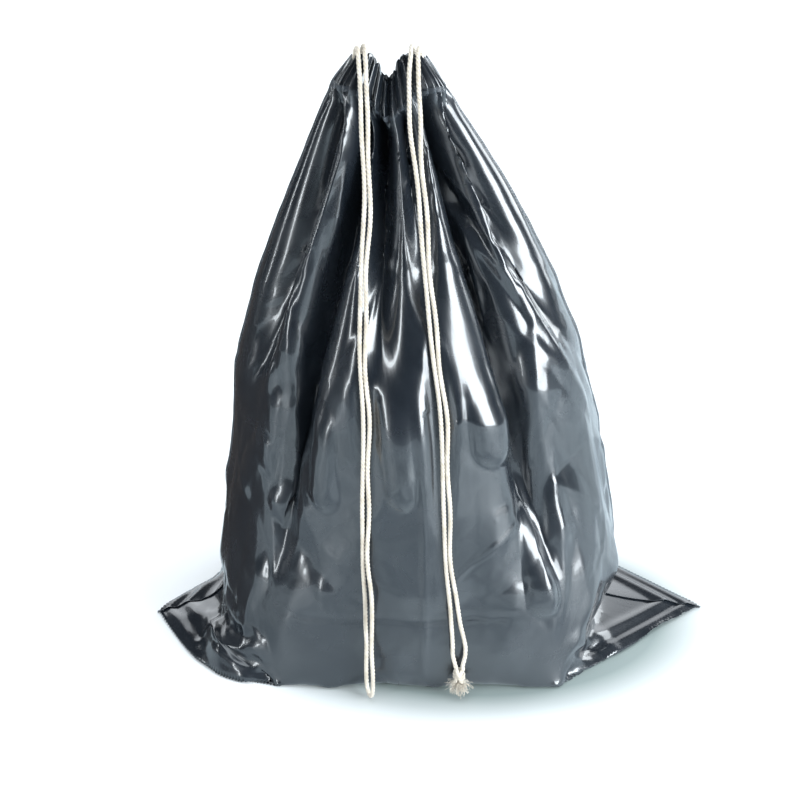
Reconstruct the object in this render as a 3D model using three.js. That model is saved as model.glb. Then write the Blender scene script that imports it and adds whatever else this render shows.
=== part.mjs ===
// A drawstring laundry bag of thin plastic film, standing on its base as if it were full.
// Millimetres, +Z up. The front faces -Y. The origin is on the floor, midway between the tips of
// the two bottom corners, which stick out as flat ears.
//
// The bag is two film panels, welded together down both sides and along the bottom. The top of
// each panel is turned over and welded down as a hem, and one cotton cord runs round through both
// hems. It comes out at the notch on each side: on the left as a plain loop, and on the right as
// the cord's two ends, which are knotted together.

import * as THREE from 'three';
import { mergeVertices } from 'three/addons/utils/BufferGeometryUtils.js';

// ---------------------------------------------------------------- driving dimensions

const WALL = 1.5; // thickness that stands for the film and the air trapped in its folds
const GAP = 0.3; // clearance between pieces that touch
const PANEL_TOP = 388.5; // height of the panels up to the hems' weld
const HEM_WELD_HEIGHT = 2.4;
const MOUTH_TOP = 416;

const WELD_HALF_WIDTH = 1.7;
const WELD_BEAD = 0.7; // how far a weld stands proud of the film
const PANEL_EDGE = WELD_HALF_WIDTH + GAP; // where a panel stops beside a weld

const HEM_THICKNESS = 6; // the gathered sleeve, from its outer to its inner face
const HEM_BULGE = 1; // how far the cord pushes each face of the sleeve out
const HEM_WALL = 1.2;
const NOTCH_ANGLE = THREE.MathUtils.degToRad(12); // from the side, where a hem ends

const CORNER_THICKNESS = 2.2; // the two layers of film in a flattened corner
const CORNER_INSET = 6; // the corners' fold starts this far from the ends of the base
const LEFT_TIP = -197.5;
const RIGHT_TIP = 197.5;
const TIP_HALF_WIDTH = 5;

const CORD_DIAMETER = 3;
const CORD_SIDES = 8;
const MOUTH_CENTRE = -29; // x of the plane midway between the two notches

// The full bag's outline at rising heights. It is square on the floor, round above, and is drawn
// in to the mouth. Each row is height, centre x, half width, half depth and squareness, where a
// squareness of 2 is an ellipse and 6 is nearly a rectangle.
const OUTLINES = [
  [0, -10, 93, 104, 6],
  [12, -10, 113, 107, 4.5],
  [50, -8, 143, 104, 2.3],
  [120, -10, 131, 102, 2.1],
  [190, -14, 119, 92, 2],
  [257, -18, 100, 77, 2],
  [300, -21, 82, 62, 2],
  [348, -25, 59, 44, 2],
  [385, -28, 44, 31, 2],
  [402, -29, 31, 21, 2],
  [MOUTH_TOP, -29, 20, 13, 2],
];

const PANEL_COLUMNS = 20;
const PANEL_ROW_HEIGHTS = [0, 5, 12, 24, 37, 50, 72, 96, 120, 155, 190, 224, 257, 279, 300, 324, 348,
  367, PANEL_TOP];
const BASE_ROWS = 3;
const HEM_COLUMNS = 14;
const CHANNEL_STATIONS = 10;

// ---------------------------------------------------------------- materials

const film = { color: 0x5a626c, roughness: 0.18, metalness: 0.0 };
const weld = { color: 0x4b525b, roughness: 0.28, metalness: 0.0 };
const cotton = { color: 0xeee4cd, roughness: 0.95, metalness: 0.0 };

const bag = new THREE.Group();

function addPiece(name, geometry, finish) {
  const mesh = new THREE.Mesh(geometry, new THREE.MeshStandardMaterial(finish));
  mesh.name = name;
  bag.add(mesh);
}

// ---------------------------------------------------------------- outline of the full bag

const outlineCurve = new THREE.CubicInterpolant(
  OUTLINES.map((row) => row[0]),
  OUTLINES.flatMap((row) => row.slice(1)),
  4,
);

function outlineAt(height) {
  const [centre, halfWidth, halfDepth, squareness] = outlineCurve.evaluate(height);
  return { centre, halfWidth, halfDepth, squareness };
}

// A point on the outline at one height, pushed in by inset. The angle is seen from above: 0 is at
// the right-hand side and PI at the left. facing is -1 for the front half and 1 for the back.
function outlinePoint(height, angle, facing, inset = 0) {
  const { centre, halfWidth, halfDepth, squareness } = outlineAt(height);
  const alongX = Math.abs(Math.cos(angle)) / (halfWidth - inset);
  const alongY = Math.abs(Math.sin(angle)) / (halfDepth - inset);
  const radius = (alongX ** squareness + alongY ** squareness) ** (-1 / squareness);
  return new THREE.Vector3(
    centre + radius * Math.cos(angle),
    facing * radius * Math.sin(angle),
    height,
  );
}

// Angles from one side of the bag to the other, starting and ending edge millimetres from the
// plane between the two panels.
function anglesAcross(height, edge, columns, inset = 0) {
  const first = Math.atan2(edge, outlineAt(height).halfWidth - inset);
  const span = Math.PI - 2 * first;
  return Array.from({ length: columns + 1 }, (_, column) => first + (span * column) / columns);
}

// ---------------------------------------------------------------- closed meshes from rows of points

function signedVolume(geometry) {
  const corner = [new THREE.Vector3(), new THREE.Vector3(), new THREE.Vector3()];
  const { index, attributes } = geometry;
  let volume = 0;
  for (let first = 0; first < index.count; first += 3) {
    corner.forEach((point, k) => point.fromBufferAttribute(attributes.position, index.getX(first + k)));
    volume += corner[0].dot(corner[1].cross(corner[2])) / 6;
  }
  return volume;
}

// Joins quads into one closed mesh that faces outwards. Quads that shrink to a line or a triangle
// lose their empty halves.
function closedMesh(quads) {
  const corners = quads.flatMap(([a, b, c, d]) => [a, b, c, a, c, d]);
  const loose = new THREE.BufferGeometry().setFromPoints(corners);
  const geometry = mergeVertices(loose, 1e-3);
  const kept = [];
  const { index } = geometry;
  for (let first = 0; first < index.count; first += 3) {
    const [a, b, c] = [index.getX(first), index.getX(first + 1), index.getX(first + 2)];
    if (a !== b && b !== c && c !== a) {
      kept.push(a, b, c);
    }
  }
  geometry.setIndex(kept);
  if (signedVolume(geometry) < 0) {
    geometry.setIndex(kept.reverse());
  }
  geometry.computeVertexNormals();
  return geometry;
}

function quadsBetween(lowerRow, upperRow) {
  const quads = [];
  for (let k = 0; k + 1 < lowerRow.length; k += 1) {
    quads.push([lowerRow[k], lowerRow[k + 1], upperRow[k + 1], upperRow[k]]);
  }
  return quads;
}

// A wall with an outer and an inner face, each given as rows of points, closed round all four edges.
function wallBetween(outer, inner) {
  const quads = [];
  for (let row = 0; row + 1 < outer.length; row += 1) {
    quads.push(...quadsBetween(outer[row], outer[row + 1]));
    quads.push(...quadsBetween(inner[row + 1], inner[row]));
  }
  const last = outer.length - 1;
  quads.push(...quadsBetween(inner[0], outer[0]));
  quads.push(...quadsBetween(outer[last], inner[last]));
  const column = (rows, end) => rows.map((row) => row.at(end));
  quads.push(...quadsBetween(column(outer, 0), column(inner, 0)));
  quads.push(...quadsBetween(column(inner, -1), column(outer, -1)));
  return closedMesh(quads);
}

// A sleeve whose outer and inner faces are loops of points at each station along it, open at both
// ends, so that a cord can pass through.
function sleeveBetween(outerLoops, innerLoops) {
  const shut = (loops) => loops.map((loop) => [...loop, loop[0]]);
  const outer = shut(outerLoops);
  const inner = shut(innerLoops);
  const quads = [];
  for (let station = 0; station + 1 < outer.length; station += 1) {
    quads.push(...quadsBetween(outer[station], outer[station + 1]));
    quads.push(...quadsBetween(inner[station + 1], inner[station]));
  }
  quads.push(...quadsBetween(inner[0], outer[0]));
  quads.push(...quadsBetween(outer.at(-1), inner.at(-1)));
  return closedMesh(quads);
}

// ---------------------------------------------------------------- film panels

// One face of a panel. It starts at the bottom weld, runs out across the floor as half of the base,
// and then climbs the wall to the hem.
function panelFace(facing, inset) {
  const floorRow = anglesAcross(0, PANEL_EDGE, PANEL_COLUMNS, inset).map(
    (angle) => outlinePoint(0, angle, facing, inset).setZ(inset),
  );
  const baseRows = Array.from({ length: BASE_ROWS }, (_, row) => floorRow.map((point) => {
    const y = THREE.MathUtils.lerp(facing * PANEL_EDGE, point.y, row / BASE_ROWS);
    return new THREE.Vector3(point.x, y, inset);
  }));
  const wallRows = PANEL_ROW_HEIGHTS.slice(1).map((height) => (
    anglesAcross(height, PANEL_EDGE, PANEL_COLUMNS, inset).map(
      (angle) => outlinePoint(height, angle, facing, inset),
    )
  ));
  return [...baseRows, floorRow, ...wallRows];
}

for (const [name, facing] of [['front_panel', -1], ['back_panel', 1]]) {
  addPiece(name, wallBetween(panelFace(facing, 0), panelFace(facing, WALL)), film);
}

// ---------------------------------------------------------------- flattened bottom corners

// Where the square base pulls the envelope in, each of its bottom corners is left over as a flat
// triangle of two layers. The bottom weld runs down the middle of it, so it is two pieces, one of
// each panel.
function cornerGeometry(side, facing) {
  const { centre, halfWidth, halfDepth } = outlineAt(CORNER_THICKNESS + GAP);
  const root = centre + side * (halfWidth + GAP);
  const tip = side < 0 ? LEFT_TIP : RIGHT_TIP;
  const shape = new THREE.Shape([
    new THREE.Vector2(root, facing * PANEL_EDGE),
    new THREE.Vector2(tip, facing * PANEL_EDGE),
    new THREE.Vector2(tip, facing * TIP_HALF_WIDTH),
    new THREE.Vector2(root, facing * (halfDepth - CORNER_INSET)),
  ]);
  return new THREE.ExtrudeGeometry(shape, { depth: CORNER_THICKNESS, bevelEnabled: false });
}

for (const [sideName, side] of [['left', -1], ['right', 1]]) {
  for (const [facingName, facing] of [['front', -1], ['back', 1]]) {
    addPiece(`${sideName}_${facingName}_corner`, cornerGeometry(side, facing), film);
  }
}

// ---------------------------------------------------------------- welds

function weldBox(from, to) {
  const size = new THREE.Vector3().subVectors(to, from);
  const middle = new THREE.Vector3().addVectors(from, to).multiplyScalar(0.5);
  return new THREE.BoxGeometry(size.x, size.y, size.z).translate(middle.x, middle.y, middle.z);
}

addPiece('bottom_weld', weldBox(
  new THREE.Vector3(LEFT_TIP, -WELD_HALF_WIDTH, 0),
  new THREE.Vector3(RIGHT_TIP, WELD_HALF_WIDTH, WALL),
), weld);

// A side weld follows the bag's outline from just above the bottom weld up to the hems' weld.
function sideWeldGeometry(side) {
  const heights = [WALL + GAP, ...PANEL_ROW_HEIGHTS.slice(1, -1), PANEL_TOP + HEM_WELD_HEIGHT];
  const face = (offset) => heights.map((height) => {
    const { centre, halfWidth } = outlineAt(height);
    const x = centre + side * (halfWidth + offset);
    return [-WELD_HALF_WIDTH, WELD_HALF_WIDTH].map((y) => new THREE.Vector3(x, y, height));
  });
  return wallBetween(face(WELD_BEAD), face(-WALL));
}

addPiece('left_side_weld', sideWeldGeometry(-1), weld);
addPiece('right_side_weld', sideWeldGeometry(1), weld);

function hemWeldGeometry(facing) {
  const heights = [PANEL_TOP + GAP, PANEL_TOP + HEM_WELD_HEIGHT];
  const face = (inset) => heights.map((height) => (
    anglesAcross(height, PANEL_EDGE, HEM_COLUMNS, inset).map(
      (angle) => outlinePoint(height, angle, facing, inset),
    )
  ));
  return wallBetween(face(-WELD_BEAD), face(WALL));
}

addPiece('front_hem_weld', hemWeldGeometry(-1), weld);
addPiece('back_hem_weld', hemWeldGeometry(1), weld);

// ---------------------------------------------------------------- hems

// The sleeve's section, as [share of its height, distance in from the outline].
const HEM_SECTION = [
  [0, HEM_THICKNESS / 2],
  [0.15, 0],
  [0.5, -HEM_BULGE],
  [0.85, 0],
  [1, HEM_THICKNESS / 2],
  [0.85, HEM_THICKNESS],
  [0.5, HEM_THICKNESS + HEM_BULGE],
  [0.15, HEM_THICKNESS],
];
const HEM_BOTTOM = PANEL_TOP + HEM_WELD_HEIGHT + GAP;
const HEM_HEIGHT = MOUTH_TOP - HEM_BOTTOM;
const HEM_MIDDLE = HEM_BOTTOM + HEM_HEIGHT / 2;

// The channel is the same section, smaller by the sleeve's own wall on every side.
const CHANNEL_SECTION = HEM_SECTION.map(([share, inset]) => {
  const shorter = 1 - (2 * HEM_WALL) / HEM_HEIGHT;
  const thinner = 1 - (2 * HEM_WALL) / HEM_THICKNESS;
  return [
    0.5 + (share - 0.5) * shorter,
    HEM_THICKNESS / 2 + (inset - HEM_THICKNESS / 2) * thinner,
  ];
});

function hemAngles(columns) {
  const span = Math.PI - 2 * NOTCH_ANGLE;
  return Array.from({ length: columns + 1 }, (_, column) => NOTCH_ANGLE + (span * column) / columns);
}

function hemGeometry(facing) {
  const loops = (section) => hemAngles(HEM_COLUMNS).map((angle) => section.map(
    ([share, inset]) => outlinePoint(HEM_BOTTOM + share * HEM_HEIGHT, angle, facing, inset),
  ));
  return sleeveBetween(loops(HEM_SECTION), loops(CHANNEL_SECTION));
}

addPiece('front_hem', hemGeometry(-1), film);
addPiece('back_hem', hemGeometry(1), film);

// ---------------------------------------------------------------- the cord

function cordGeometry(points, steps) {
  const section = new THREE.Shape(Array.from({ length: CORD_SIDES }, (_, side) => {
    const angle = (2 * Math.PI * side) / CORD_SIDES;
    return new THREE.Vector2(Math.cos(angle), Math.sin(angle)).multiplyScalar(CORD_DIAMETER / 2);
  }));
  return new THREE.ExtrudeGeometry(section, {
    steps,
    bevelEnabled: false,
    extrudePath: new THREE.CatmullRomCurve3(points, false, 'centripetal'),
  });
}

const toVectors = (points) => points.map(([x, y, z]) => new THREE.Vector3(x, y, z));

const acrossMouth = ([x, y, z]) => [2 * MOUTH_CENTRE - x, y, z];

// From the left notch, each run climbs over the top of the hem to the point that the hanging cord
// swings about. The right-hand side mirrors it.
const FRONT_RUN_EXIT = [[-55.8, -3.1, 404.6], [-58.8, -2, 409], [-58.2, -4, 414.5], [-54.5, -7.5, 418.3],
  [-50.5, -10.5, 419.6], [-47.8, -13, 419.5]];
const BACK_RUN_EXIT = [[-55.6, 3.3, 404.8], [-58, 1.9, 410], [-55.6, 0.5, 415.8], [-51, -3.5, 419.8],
  [-46, -8.5, 420.3], [-43.4, -13, 419.5]];

function cordRun(facing, exit) {
  const channel = hemAngles(CHANNEL_STATIONS).map(
    (angle) => outlinePoint(HEM_MIDDLE, angle, facing, HEM_THICKNESS / 2),
  );
  const leftEnd = toVectors(exit);
  const rightEnd = toVectors(exit.map(acrossMouth));
  return cordGeometry([...rightEnd.reverse(), ...channel, ...leftEnd], 34);
}

addPiece('cord_front_run', cordRun(-1, FRONT_RUN_EXIT), cotton);
addPiece('cord_back_run', cordRun(1, BACK_RUN_EXIT), cotton);

// The hanging cord, from the top of the hem down the front of the bag to just above the floor.
const LEFT_OUTER_STRAND = [[-47.5, -15.9, 417.2], [-46.5, -21.8, 405], [-45.8, -34.5, 381],
  [-45.2, -45.5, 351], [-45, -56, 322], [-45.5, -66.5, 293], [-46.2, -76, 263], [-46.6, -84, 236],
  [-46.2, -90.5, 207], [-46, -96.5, 176], [-45.8, -101.5, 145], [-45.2, -105.5, 111],
  [-44.8, -108, 74], [-44.6, -109.5, 46], [-44.2, -109.8, 24]];
const LEFT_INNER_STRAND = [[-43.2, -15.9, 417.2], [-42.2, -22.5, 405], [-41.6, -35, 381],
  [-41, -46, 351], [-40.9, -56.5, 322], [-41.4, -67, 293], [-42.1, -76.5, 263], [-42.5, -84.5, 236],
  [-42.1, -91, 207], [-41.8, -97, 176], [-41.4, -102.2, 145], [-41, -107, 111], [-40.2, -112, 74],
  [-39.6, -118, 46], [-39.4, -120.8, 24]];
const LEFT_BIGHT = [[-44.2, -109.8, 23.7], [-44.1, -109.9, 16], [-43.6, -111.1, 7], [-41.8, -115.3, 3],
  [-40, -119.5, 7], [-39.5, -120.7, 16], [-39.4, -120.8, 23.7]];

const RIGHT_INNER_STRAND = [[-14.8, -15.9, 417.2], [-16, -22.5, 405], [-15.6, -37, 377],
  [-12.6, -47.5, 347], [-9.7, -57, 323], [-6.6, -66, 299], [-3.7, -74.5, 273], [-0.6, -83, 243],
  [2.4, -90, 212], [4.4, -96.5, 180], [6.4, -102, 147], [8.4, -106, 112], [10.4, -108.5, 82],
  [12, -109.8, 56], [12.2, -111, 36], [15.6, -112.3, 24.4]];
const RIGHT_OUTER_STRAND = [[-10.5, -15.9, 417.2], [-9.6, -23, 402], [-8.8, -37, 377],
  [-7.4, -47.5, 347], [-5.2, -57, 323], [-2.3, -66, 299], [0.6, -74.5, 273], [3.7, -83, 243],
  [6.7, -90, 212], [8.7, -96.5, 180], [10.7, -102, 147], [12.7, -106.3, 112], [14.8, -108.9, 82],
  [18.6, -110.2, 58], [23.8, -111.4, 39], [20.4, -112.3, 24.4]];

addPiece('left_cord_outer_strand', cordGeometry(toVectors(LEFT_OUTER_STRAND), 18), cotton);
addPiece('left_cord_inner_strand', cordGeometry(toVectors(LEFT_INNER_STRAND), 18), cotton);
addPiece('left_cord_bight', cordGeometry(toVectors(LEFT_BIGHT), 12), cotton);
addPiece('right_cord_inner_strand', cordGeometry(toVectors(RIGHT_INNER_STRAND), 20), cotton);
addPiece('right_cord_outer_strand', cordGeometry(toVectors(RIGHT_OUTER_STRAND), 20), cotton);

// ---------------------------------------------------------------- the knot and the frayed ends

const KNOT_CENTRE = new THREE.Vector3(18, -112.5, 18);
const KNOT_RADII = new THREE.Vector3(5.2, 4.6, 5.6);

const knot = new THREE.SphereGeometry(1, 12, 8);
knot.scale(KNOT_RADII.x, KNOT_RADII.y, KNOT_RADII.z);
knot.translate(KNOT_CENTRE.x, KNOT_CENTRE.y, KNOT_CENTRE.z);
addPiece('cord_knot', knot, cotton);

const FRAY_LENGTH = 8;
const FRAY_TOP_RADIUS = 1.5;
const FRAY_END_RADIUS = 3;

// A frayed end is a cone of loose fibres that starts at the knot and opens towards the floor.
function frayedEndGeometry(top, direction) {
  const heading = new THREE.Vector3(...direction).normalize();
  const cone = new THREE.CylinderGeometry(FRAY_TOP_RADIUS, FRAY_END_RADIUS, FRAY_LENGTH, 10);
  cone.translate(0, -FRAY_LENGTH / 2, 0);
  const turn = new THREE.Quaternion().setFromUnitVectors(new THREE.Vector3(0, -1, 0), heading);
  return cone.applyQuaternion(turn).translate(...top);
}

addPiece('left_frayed_end', frayedEndGeometry([14.6, -114, 12], [-0.55, -0.15, -0.82]), cotton);
addPiece('right_frayed_end', frayedEndGeometry([21.6, -113.5, 12.4], [0.62, -0.15, -0.77]), cotton);

export default bag;
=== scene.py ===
# %% [markdown]
# # A drawstring laundry bag
#
# A laundry bag of this kind is two panels of thin, glossy plastic film, welded together at the sides and
# at the bottom. The top of each is folded over into a hem, and one cotton cord runs through both hems and
# hangs out as a loop on the left and as two knotted ends on the right. Here the bag is full and stands on
# its squared-off base, so its two bottom corners lie flat beside it like ears.
#
# The measured model made before this one holds the sizes and the places. This script loads it, hides its
# plain stand-ins, and puts a detailed piece in the place of each.

# %% The measured frame
import math
from collections import namedtuple

import bpy
import numpy as np
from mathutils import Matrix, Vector


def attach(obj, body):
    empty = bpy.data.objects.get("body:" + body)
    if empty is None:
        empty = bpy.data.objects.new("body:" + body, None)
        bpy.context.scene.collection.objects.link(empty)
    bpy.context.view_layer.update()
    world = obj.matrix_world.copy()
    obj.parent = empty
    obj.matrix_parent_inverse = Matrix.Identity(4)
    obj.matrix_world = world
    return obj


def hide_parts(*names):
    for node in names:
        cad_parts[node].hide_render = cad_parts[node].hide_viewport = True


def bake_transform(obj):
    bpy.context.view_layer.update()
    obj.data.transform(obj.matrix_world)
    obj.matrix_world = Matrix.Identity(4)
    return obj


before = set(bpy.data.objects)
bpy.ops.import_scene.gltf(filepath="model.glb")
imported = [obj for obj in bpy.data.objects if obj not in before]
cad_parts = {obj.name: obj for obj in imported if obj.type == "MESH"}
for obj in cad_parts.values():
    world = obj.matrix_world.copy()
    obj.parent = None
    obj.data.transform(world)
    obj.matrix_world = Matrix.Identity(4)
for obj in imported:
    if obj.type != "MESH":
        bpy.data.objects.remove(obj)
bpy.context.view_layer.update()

# %% [markdown]
# ## The camera
#
# The bag is seen from a little above, as a person sees a bag that stands on the floor. A camera that is
# pitched down but not turned shows the front square on. Only the line through the middle stays upright:
# looking down makes the lines at the sides lean apart a little towards the top.

# %% The camera
CAMERA_PLACE = (-0.0215, -1.2, 0.802)
CAMERA_PITCH = 62.1
CAMERA_LENS = 89.2


def make_camera():
    camera = bpy.data.objects.new("camera", bpy.data.cameras.new("camera"))
    bpy.context.collection.objects.link(camera)
    camera.location = CAMERA_PLACE
    camera.rotation_euler = (math.radians(CAMERA_PITCH), 0, 0)
    camera.data.lens = CAMERA_LENS
    bpy.context.scene.camera = camera


make_camera()

# %% [markdown]
# ## Where the cord runs
#
# A cord is a fixed length of something limp, so its route comes first. Each route is a short list of
# points in millimetres, in order along the cord, and a smooth curve is drawn through them.

# %% The cord's routes
CORD_DIAMETER = 0.003
MOUTH_CENTRE = -0.029

FRONT_RUN_EXIT = [(-49, -2, 405), (-50, -3, 410), (-49.5, -5.5, 415.5), (-48.6, -9, 419),
                  (-47.9, -12.5, 419.6), (-47.6, -14.9, 418.4), (-47.5, -16.2, 416.8)]
BACK_RUN_EXIT = [(-47, 3.5, 405), (-46, 2.5, 411), (-45, -0.5, 416.4), (-44, -6, 419.6),
                 (-43.4, -12, 419.8), (-43.2, -14.9, 418.4), (-43.1, -16.2, 416.8)]
LEFT_OUTER = [(-47.5, -15.9, 417.2), (-46.5, -21.8, 405), (-45.8, -34.5, 381), (-45.2, -45.5, 351),
              (-45, -56, 322), (-45.5, -66.5, 293), (-46.2, -76, 263), (-46.6, -84, 236),
              (-46.2, -90.5, 207), (-46, -96.5, 176), (-45.8, -101.5, 145), (-45.2, -105.5, 111),
              (-44.8, -108, 74), (-44.6, -109.5, 46), (-44.2, -109.8, 24)]
LEFT_BIGHT = [(-44.1, -109.9, 16), (-43.6, -111.1, 7), (-41.8, -115.3, 3), (-40, -119.5, 7),
              (-39.5, -120.7, 16)]
LEFT_INNER = [(-43.2, -15.9, 417.2), (-42.2, -22.5, 405), (-41.6, -35, 381), (-41, -46, 351),
              (-40.9, -56.5, 322), (-41.4, -67, 293), (-42.1, -76.5, 263), (-42.5, -84.5, 236),
              (-42.1, -91, 207), (-41.8, -97, 176), (-41.4, -102.2, 145), (-41, -107, 111),
              (-40.2, -112, 74), (-39.6, -118, 46), (-39.4, -120.8, 24)]
RIGHT_INNER = [(-14.8, -15.9, 417.2), (-16, -22.5, 405), (-15.6, -37, 377), (-12.6, -47.5, 347),
               (-9.7, -57, 323), (-6.6, -66, 299), (-3.7, -74.5, 273), (-0.6, -83, 243),
               (2.4, -90, 212), (4.4, -96.5, 180), (6.4, -102, 147), (8.4, -106, 112),
               (10.4, -108.5, 82), (12, -109.8, 56), (12.2, -111, 36), (15.6, -112.3, 24.4)]
RIGHT_OUTER = [(-10.5, -15.9, 417.2), (-9.6, -23, 402), (-8.8, -37, 377), (-7.4, -47.5, 347),
               (-5.2, -57, 323), (-2.3, -66, 299), (0.6, -74.5, 273), (3.7, -83, 243),
               (6.7, -90, 212), (8.7, -96.5, 180), (10.7, -102, 147), (12.7, -106.3, 112),
               (14.8, -108.9, 82), (18.6, -110.2, 58), (23.8, -111.4, 39), (20.4, -112.3, 24.4)]


def metres(points):
    return np.array(points, float) / 1000


def across_mouth(points):
    """The same points on the other side of the mouth."""
    mirrored = points.copy()
    mirrored[:, 0] = 2 * MOUTH_CENTRE - mirrored[:, 0]
    return mirrored


def smooth_line(points, step=0.001):
    """A smooth curve through the points, with a point about every step metres."""
    knots = np.concatenate([[0], np.cumsum(np.sqrt(np.linalg.norm(np.diff(points, axis=0), axis=1)))])
    slopes = np.gradient(points, knots, axis=0)
    line = []
    for k in range(len(points) - 1):
        width = knots[k + 1] - knots[k]
        count = max(2, math.ceil(np.linalg.norm(points[k + 1] - points[k]) / step))
        t = (np.arange(count) / count)[:, None]
        line.append((2 * t ** 3 - 3 * t ** 2 + 1) * points[k]
                    + (t ** 3 - 2 * t ** 2 + t) * width * slopes[k]
                    + (3 * t ** 2 - 2 * t ** 3) * points[k + 1]
                    + (t ** 3 - t ** 2) * width * slopes[k + 1])
    return np.concatenate(line + [points[-1:]])


def smooth_step(start, end, x):
    t = np.clip((x - start) / (end - start), 0, 1)
    return t * t * (3 - 2 * t)


def line_length(line):
    return float(np.linalg.norm(np.diff(line, axis=0), axis=1).sum())


def across_at(route, height):
    """How far across a strand lies at a height."""
    points = metres(route)[::-1]
    return np.interp(height, points[:, 2], points[:, 0])


CLOSEST = 0.30
KNOT_GAP_HEIGHT = 0.042
KNOT_GAP_REACH = 0.014


def lie_together(line, outer, inner):
    """The two strands of a pair roll against each other: they touch in places, and part in others."""
    height = line[:, 2]
    middle = 0.5 * (across_at(outer, height) + across_at(inner, height))
    hanging = smooth_step(0.045, 0.10, height) * smooth_step(0.415, 0.385, height)
    above_knot = np.exp(-((height - KNOT_GAP_HEIGHT) / KNOT_GAP_REACH) ** 2)
    closer = CLOSEST * np.cos(height * 52 + 0.6) ** 2 * hanging + CLOSEST * above_knot
    drift = (0.0009 * np.sin(height * 41) + 0.0004 * np.sin(height * 97 + 1)) * hanging
    together = line.copy()
    together[:, 0] += (middle - line[:, 0]) * closer + drift
    return together


left_loop_line = lie_together(smooth_line(metres(LEFT_OUTER + LEFT_BIGHT + LEFT_INNER[::-1])),
                              LEFT_OUTER, LEFT_INNER)
right_inner_line = lie_together(smooth_line(metres(RIGHT_INNER)), RIGHT_OUTER, RIGHT_INNER)
right_outer_line = lie_together(smooth_line(metres(RIGHT_OUTER)), RIGHT_OUTER, RIGHT_INNER)
for title, line in (("left loop", left_loop_line), ("right inner strand", right_inner_line),
                    ("right outer strand", right_outer_line)):
    print(f"{title}: {line_length(line):.3f} m long")

# %% [markdown]
# ## The shape of the full bag
#
# The film hardly stretches, so most of its shape follows from one fact: at every height the film has
# nearly the same width as when it lay flat. At the base it is all used up by the outline. Higher up the
# outline gets smaller, and the film that is left over goes into folds: a few deep, soft tubes with sharp
# valleys between them.
#
# Where the folds fall matters here. So the outline and the valleys are given, the folded film is worked
# out from them, and then a short relaxation lets the film settle, so that it creases and buckles
# wherever the drawn shape asks too much of it.

# %% The outline of the bag at each height
OUTLINES = np.array([
    # height, middle, half width, front depth, back depth, squareness
    (0.000, -0.0085, 0.094, 0.104, 0.104, 14.0),
    (0.012, -0.0100, 0.112, 0.106, 0.106, 6.0),
    (0.030, -0.0100, 0.128, 0.106, 0.106, 3.8),
    (0.054, -0.0090, 0.139, 0.105, 0.105, 2.8),
    (0.085, -0.0090, 0.135, 0.104, 0.104, 2.35),
    (0.120, -0.0100, 0.129, 0.103, 0.102, 2.2),
    (0.190, -0.0140, 0.119, 0.098, 0.096, 2.1),
    (0.215, -0.0150, 0.113, 0.094, 0.092, 2.05),
    (0.257, -0.0180, 0.100, 0.079, 0.077, 2.0),
    (0.300, -0.0210, 0.082, 0.062, 0.060, 2.0),
    (0.348, -0.0250, 0.060, 0.044, 0.043, 2.0),
    (0.385, -0.0280, 0.043, 0.031, 0.030, 2.0),
    (0.402, -0.0285, 0.033, 0.024, 0.023, 2.0),
    (0.416, -0.0285, 0.023, 0.016, 0.016, 2.0)])
MOUTH_HEIGHT = OUTLINES[-1, 0]
RING_POINTS = 1441


def outline_at(height):
    """Middle, half width, front depth, back depth and squareness of the outline."""
    return [np.interp(height, OUTLINES[:, 0], OUTLINES[:, k]) for k in range(1, 6)]


def outline_points(azimuth, height):
    """Points on the outline. Azimuth 0 is the right-hand seam, and a quarter turn is the front."""
    middle, half_width, front, back, squareness = outline_at(height)
    depth = np.where(np.sin(azimuth) >= 0, front, back)
    reach = (np.abs(np.cos(azimuth) / half_width) ** squareness
             + np.abs(np.sin(azimuth) / depth) ** squareness) ** (-1 / squareness)
    return middle + reach * np.cos(azimuth), -reach * np.sin(azimuth)


def running_length(x, y):
    return np.concatenate([[0], np.cumsum(np.hypot(np.diff(x), np.diff(y)))])


def outward(x, y, middle):
    """Unit vectors that point out of a ring, at right angles to it."""
    across, along = np.gradient(y), -np.gradient(x)
    length = np.hypot(across, along) + 1e-12
    side = np.sign(across * (x - middle) + along * y) / length
    return across * side, along * side


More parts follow.
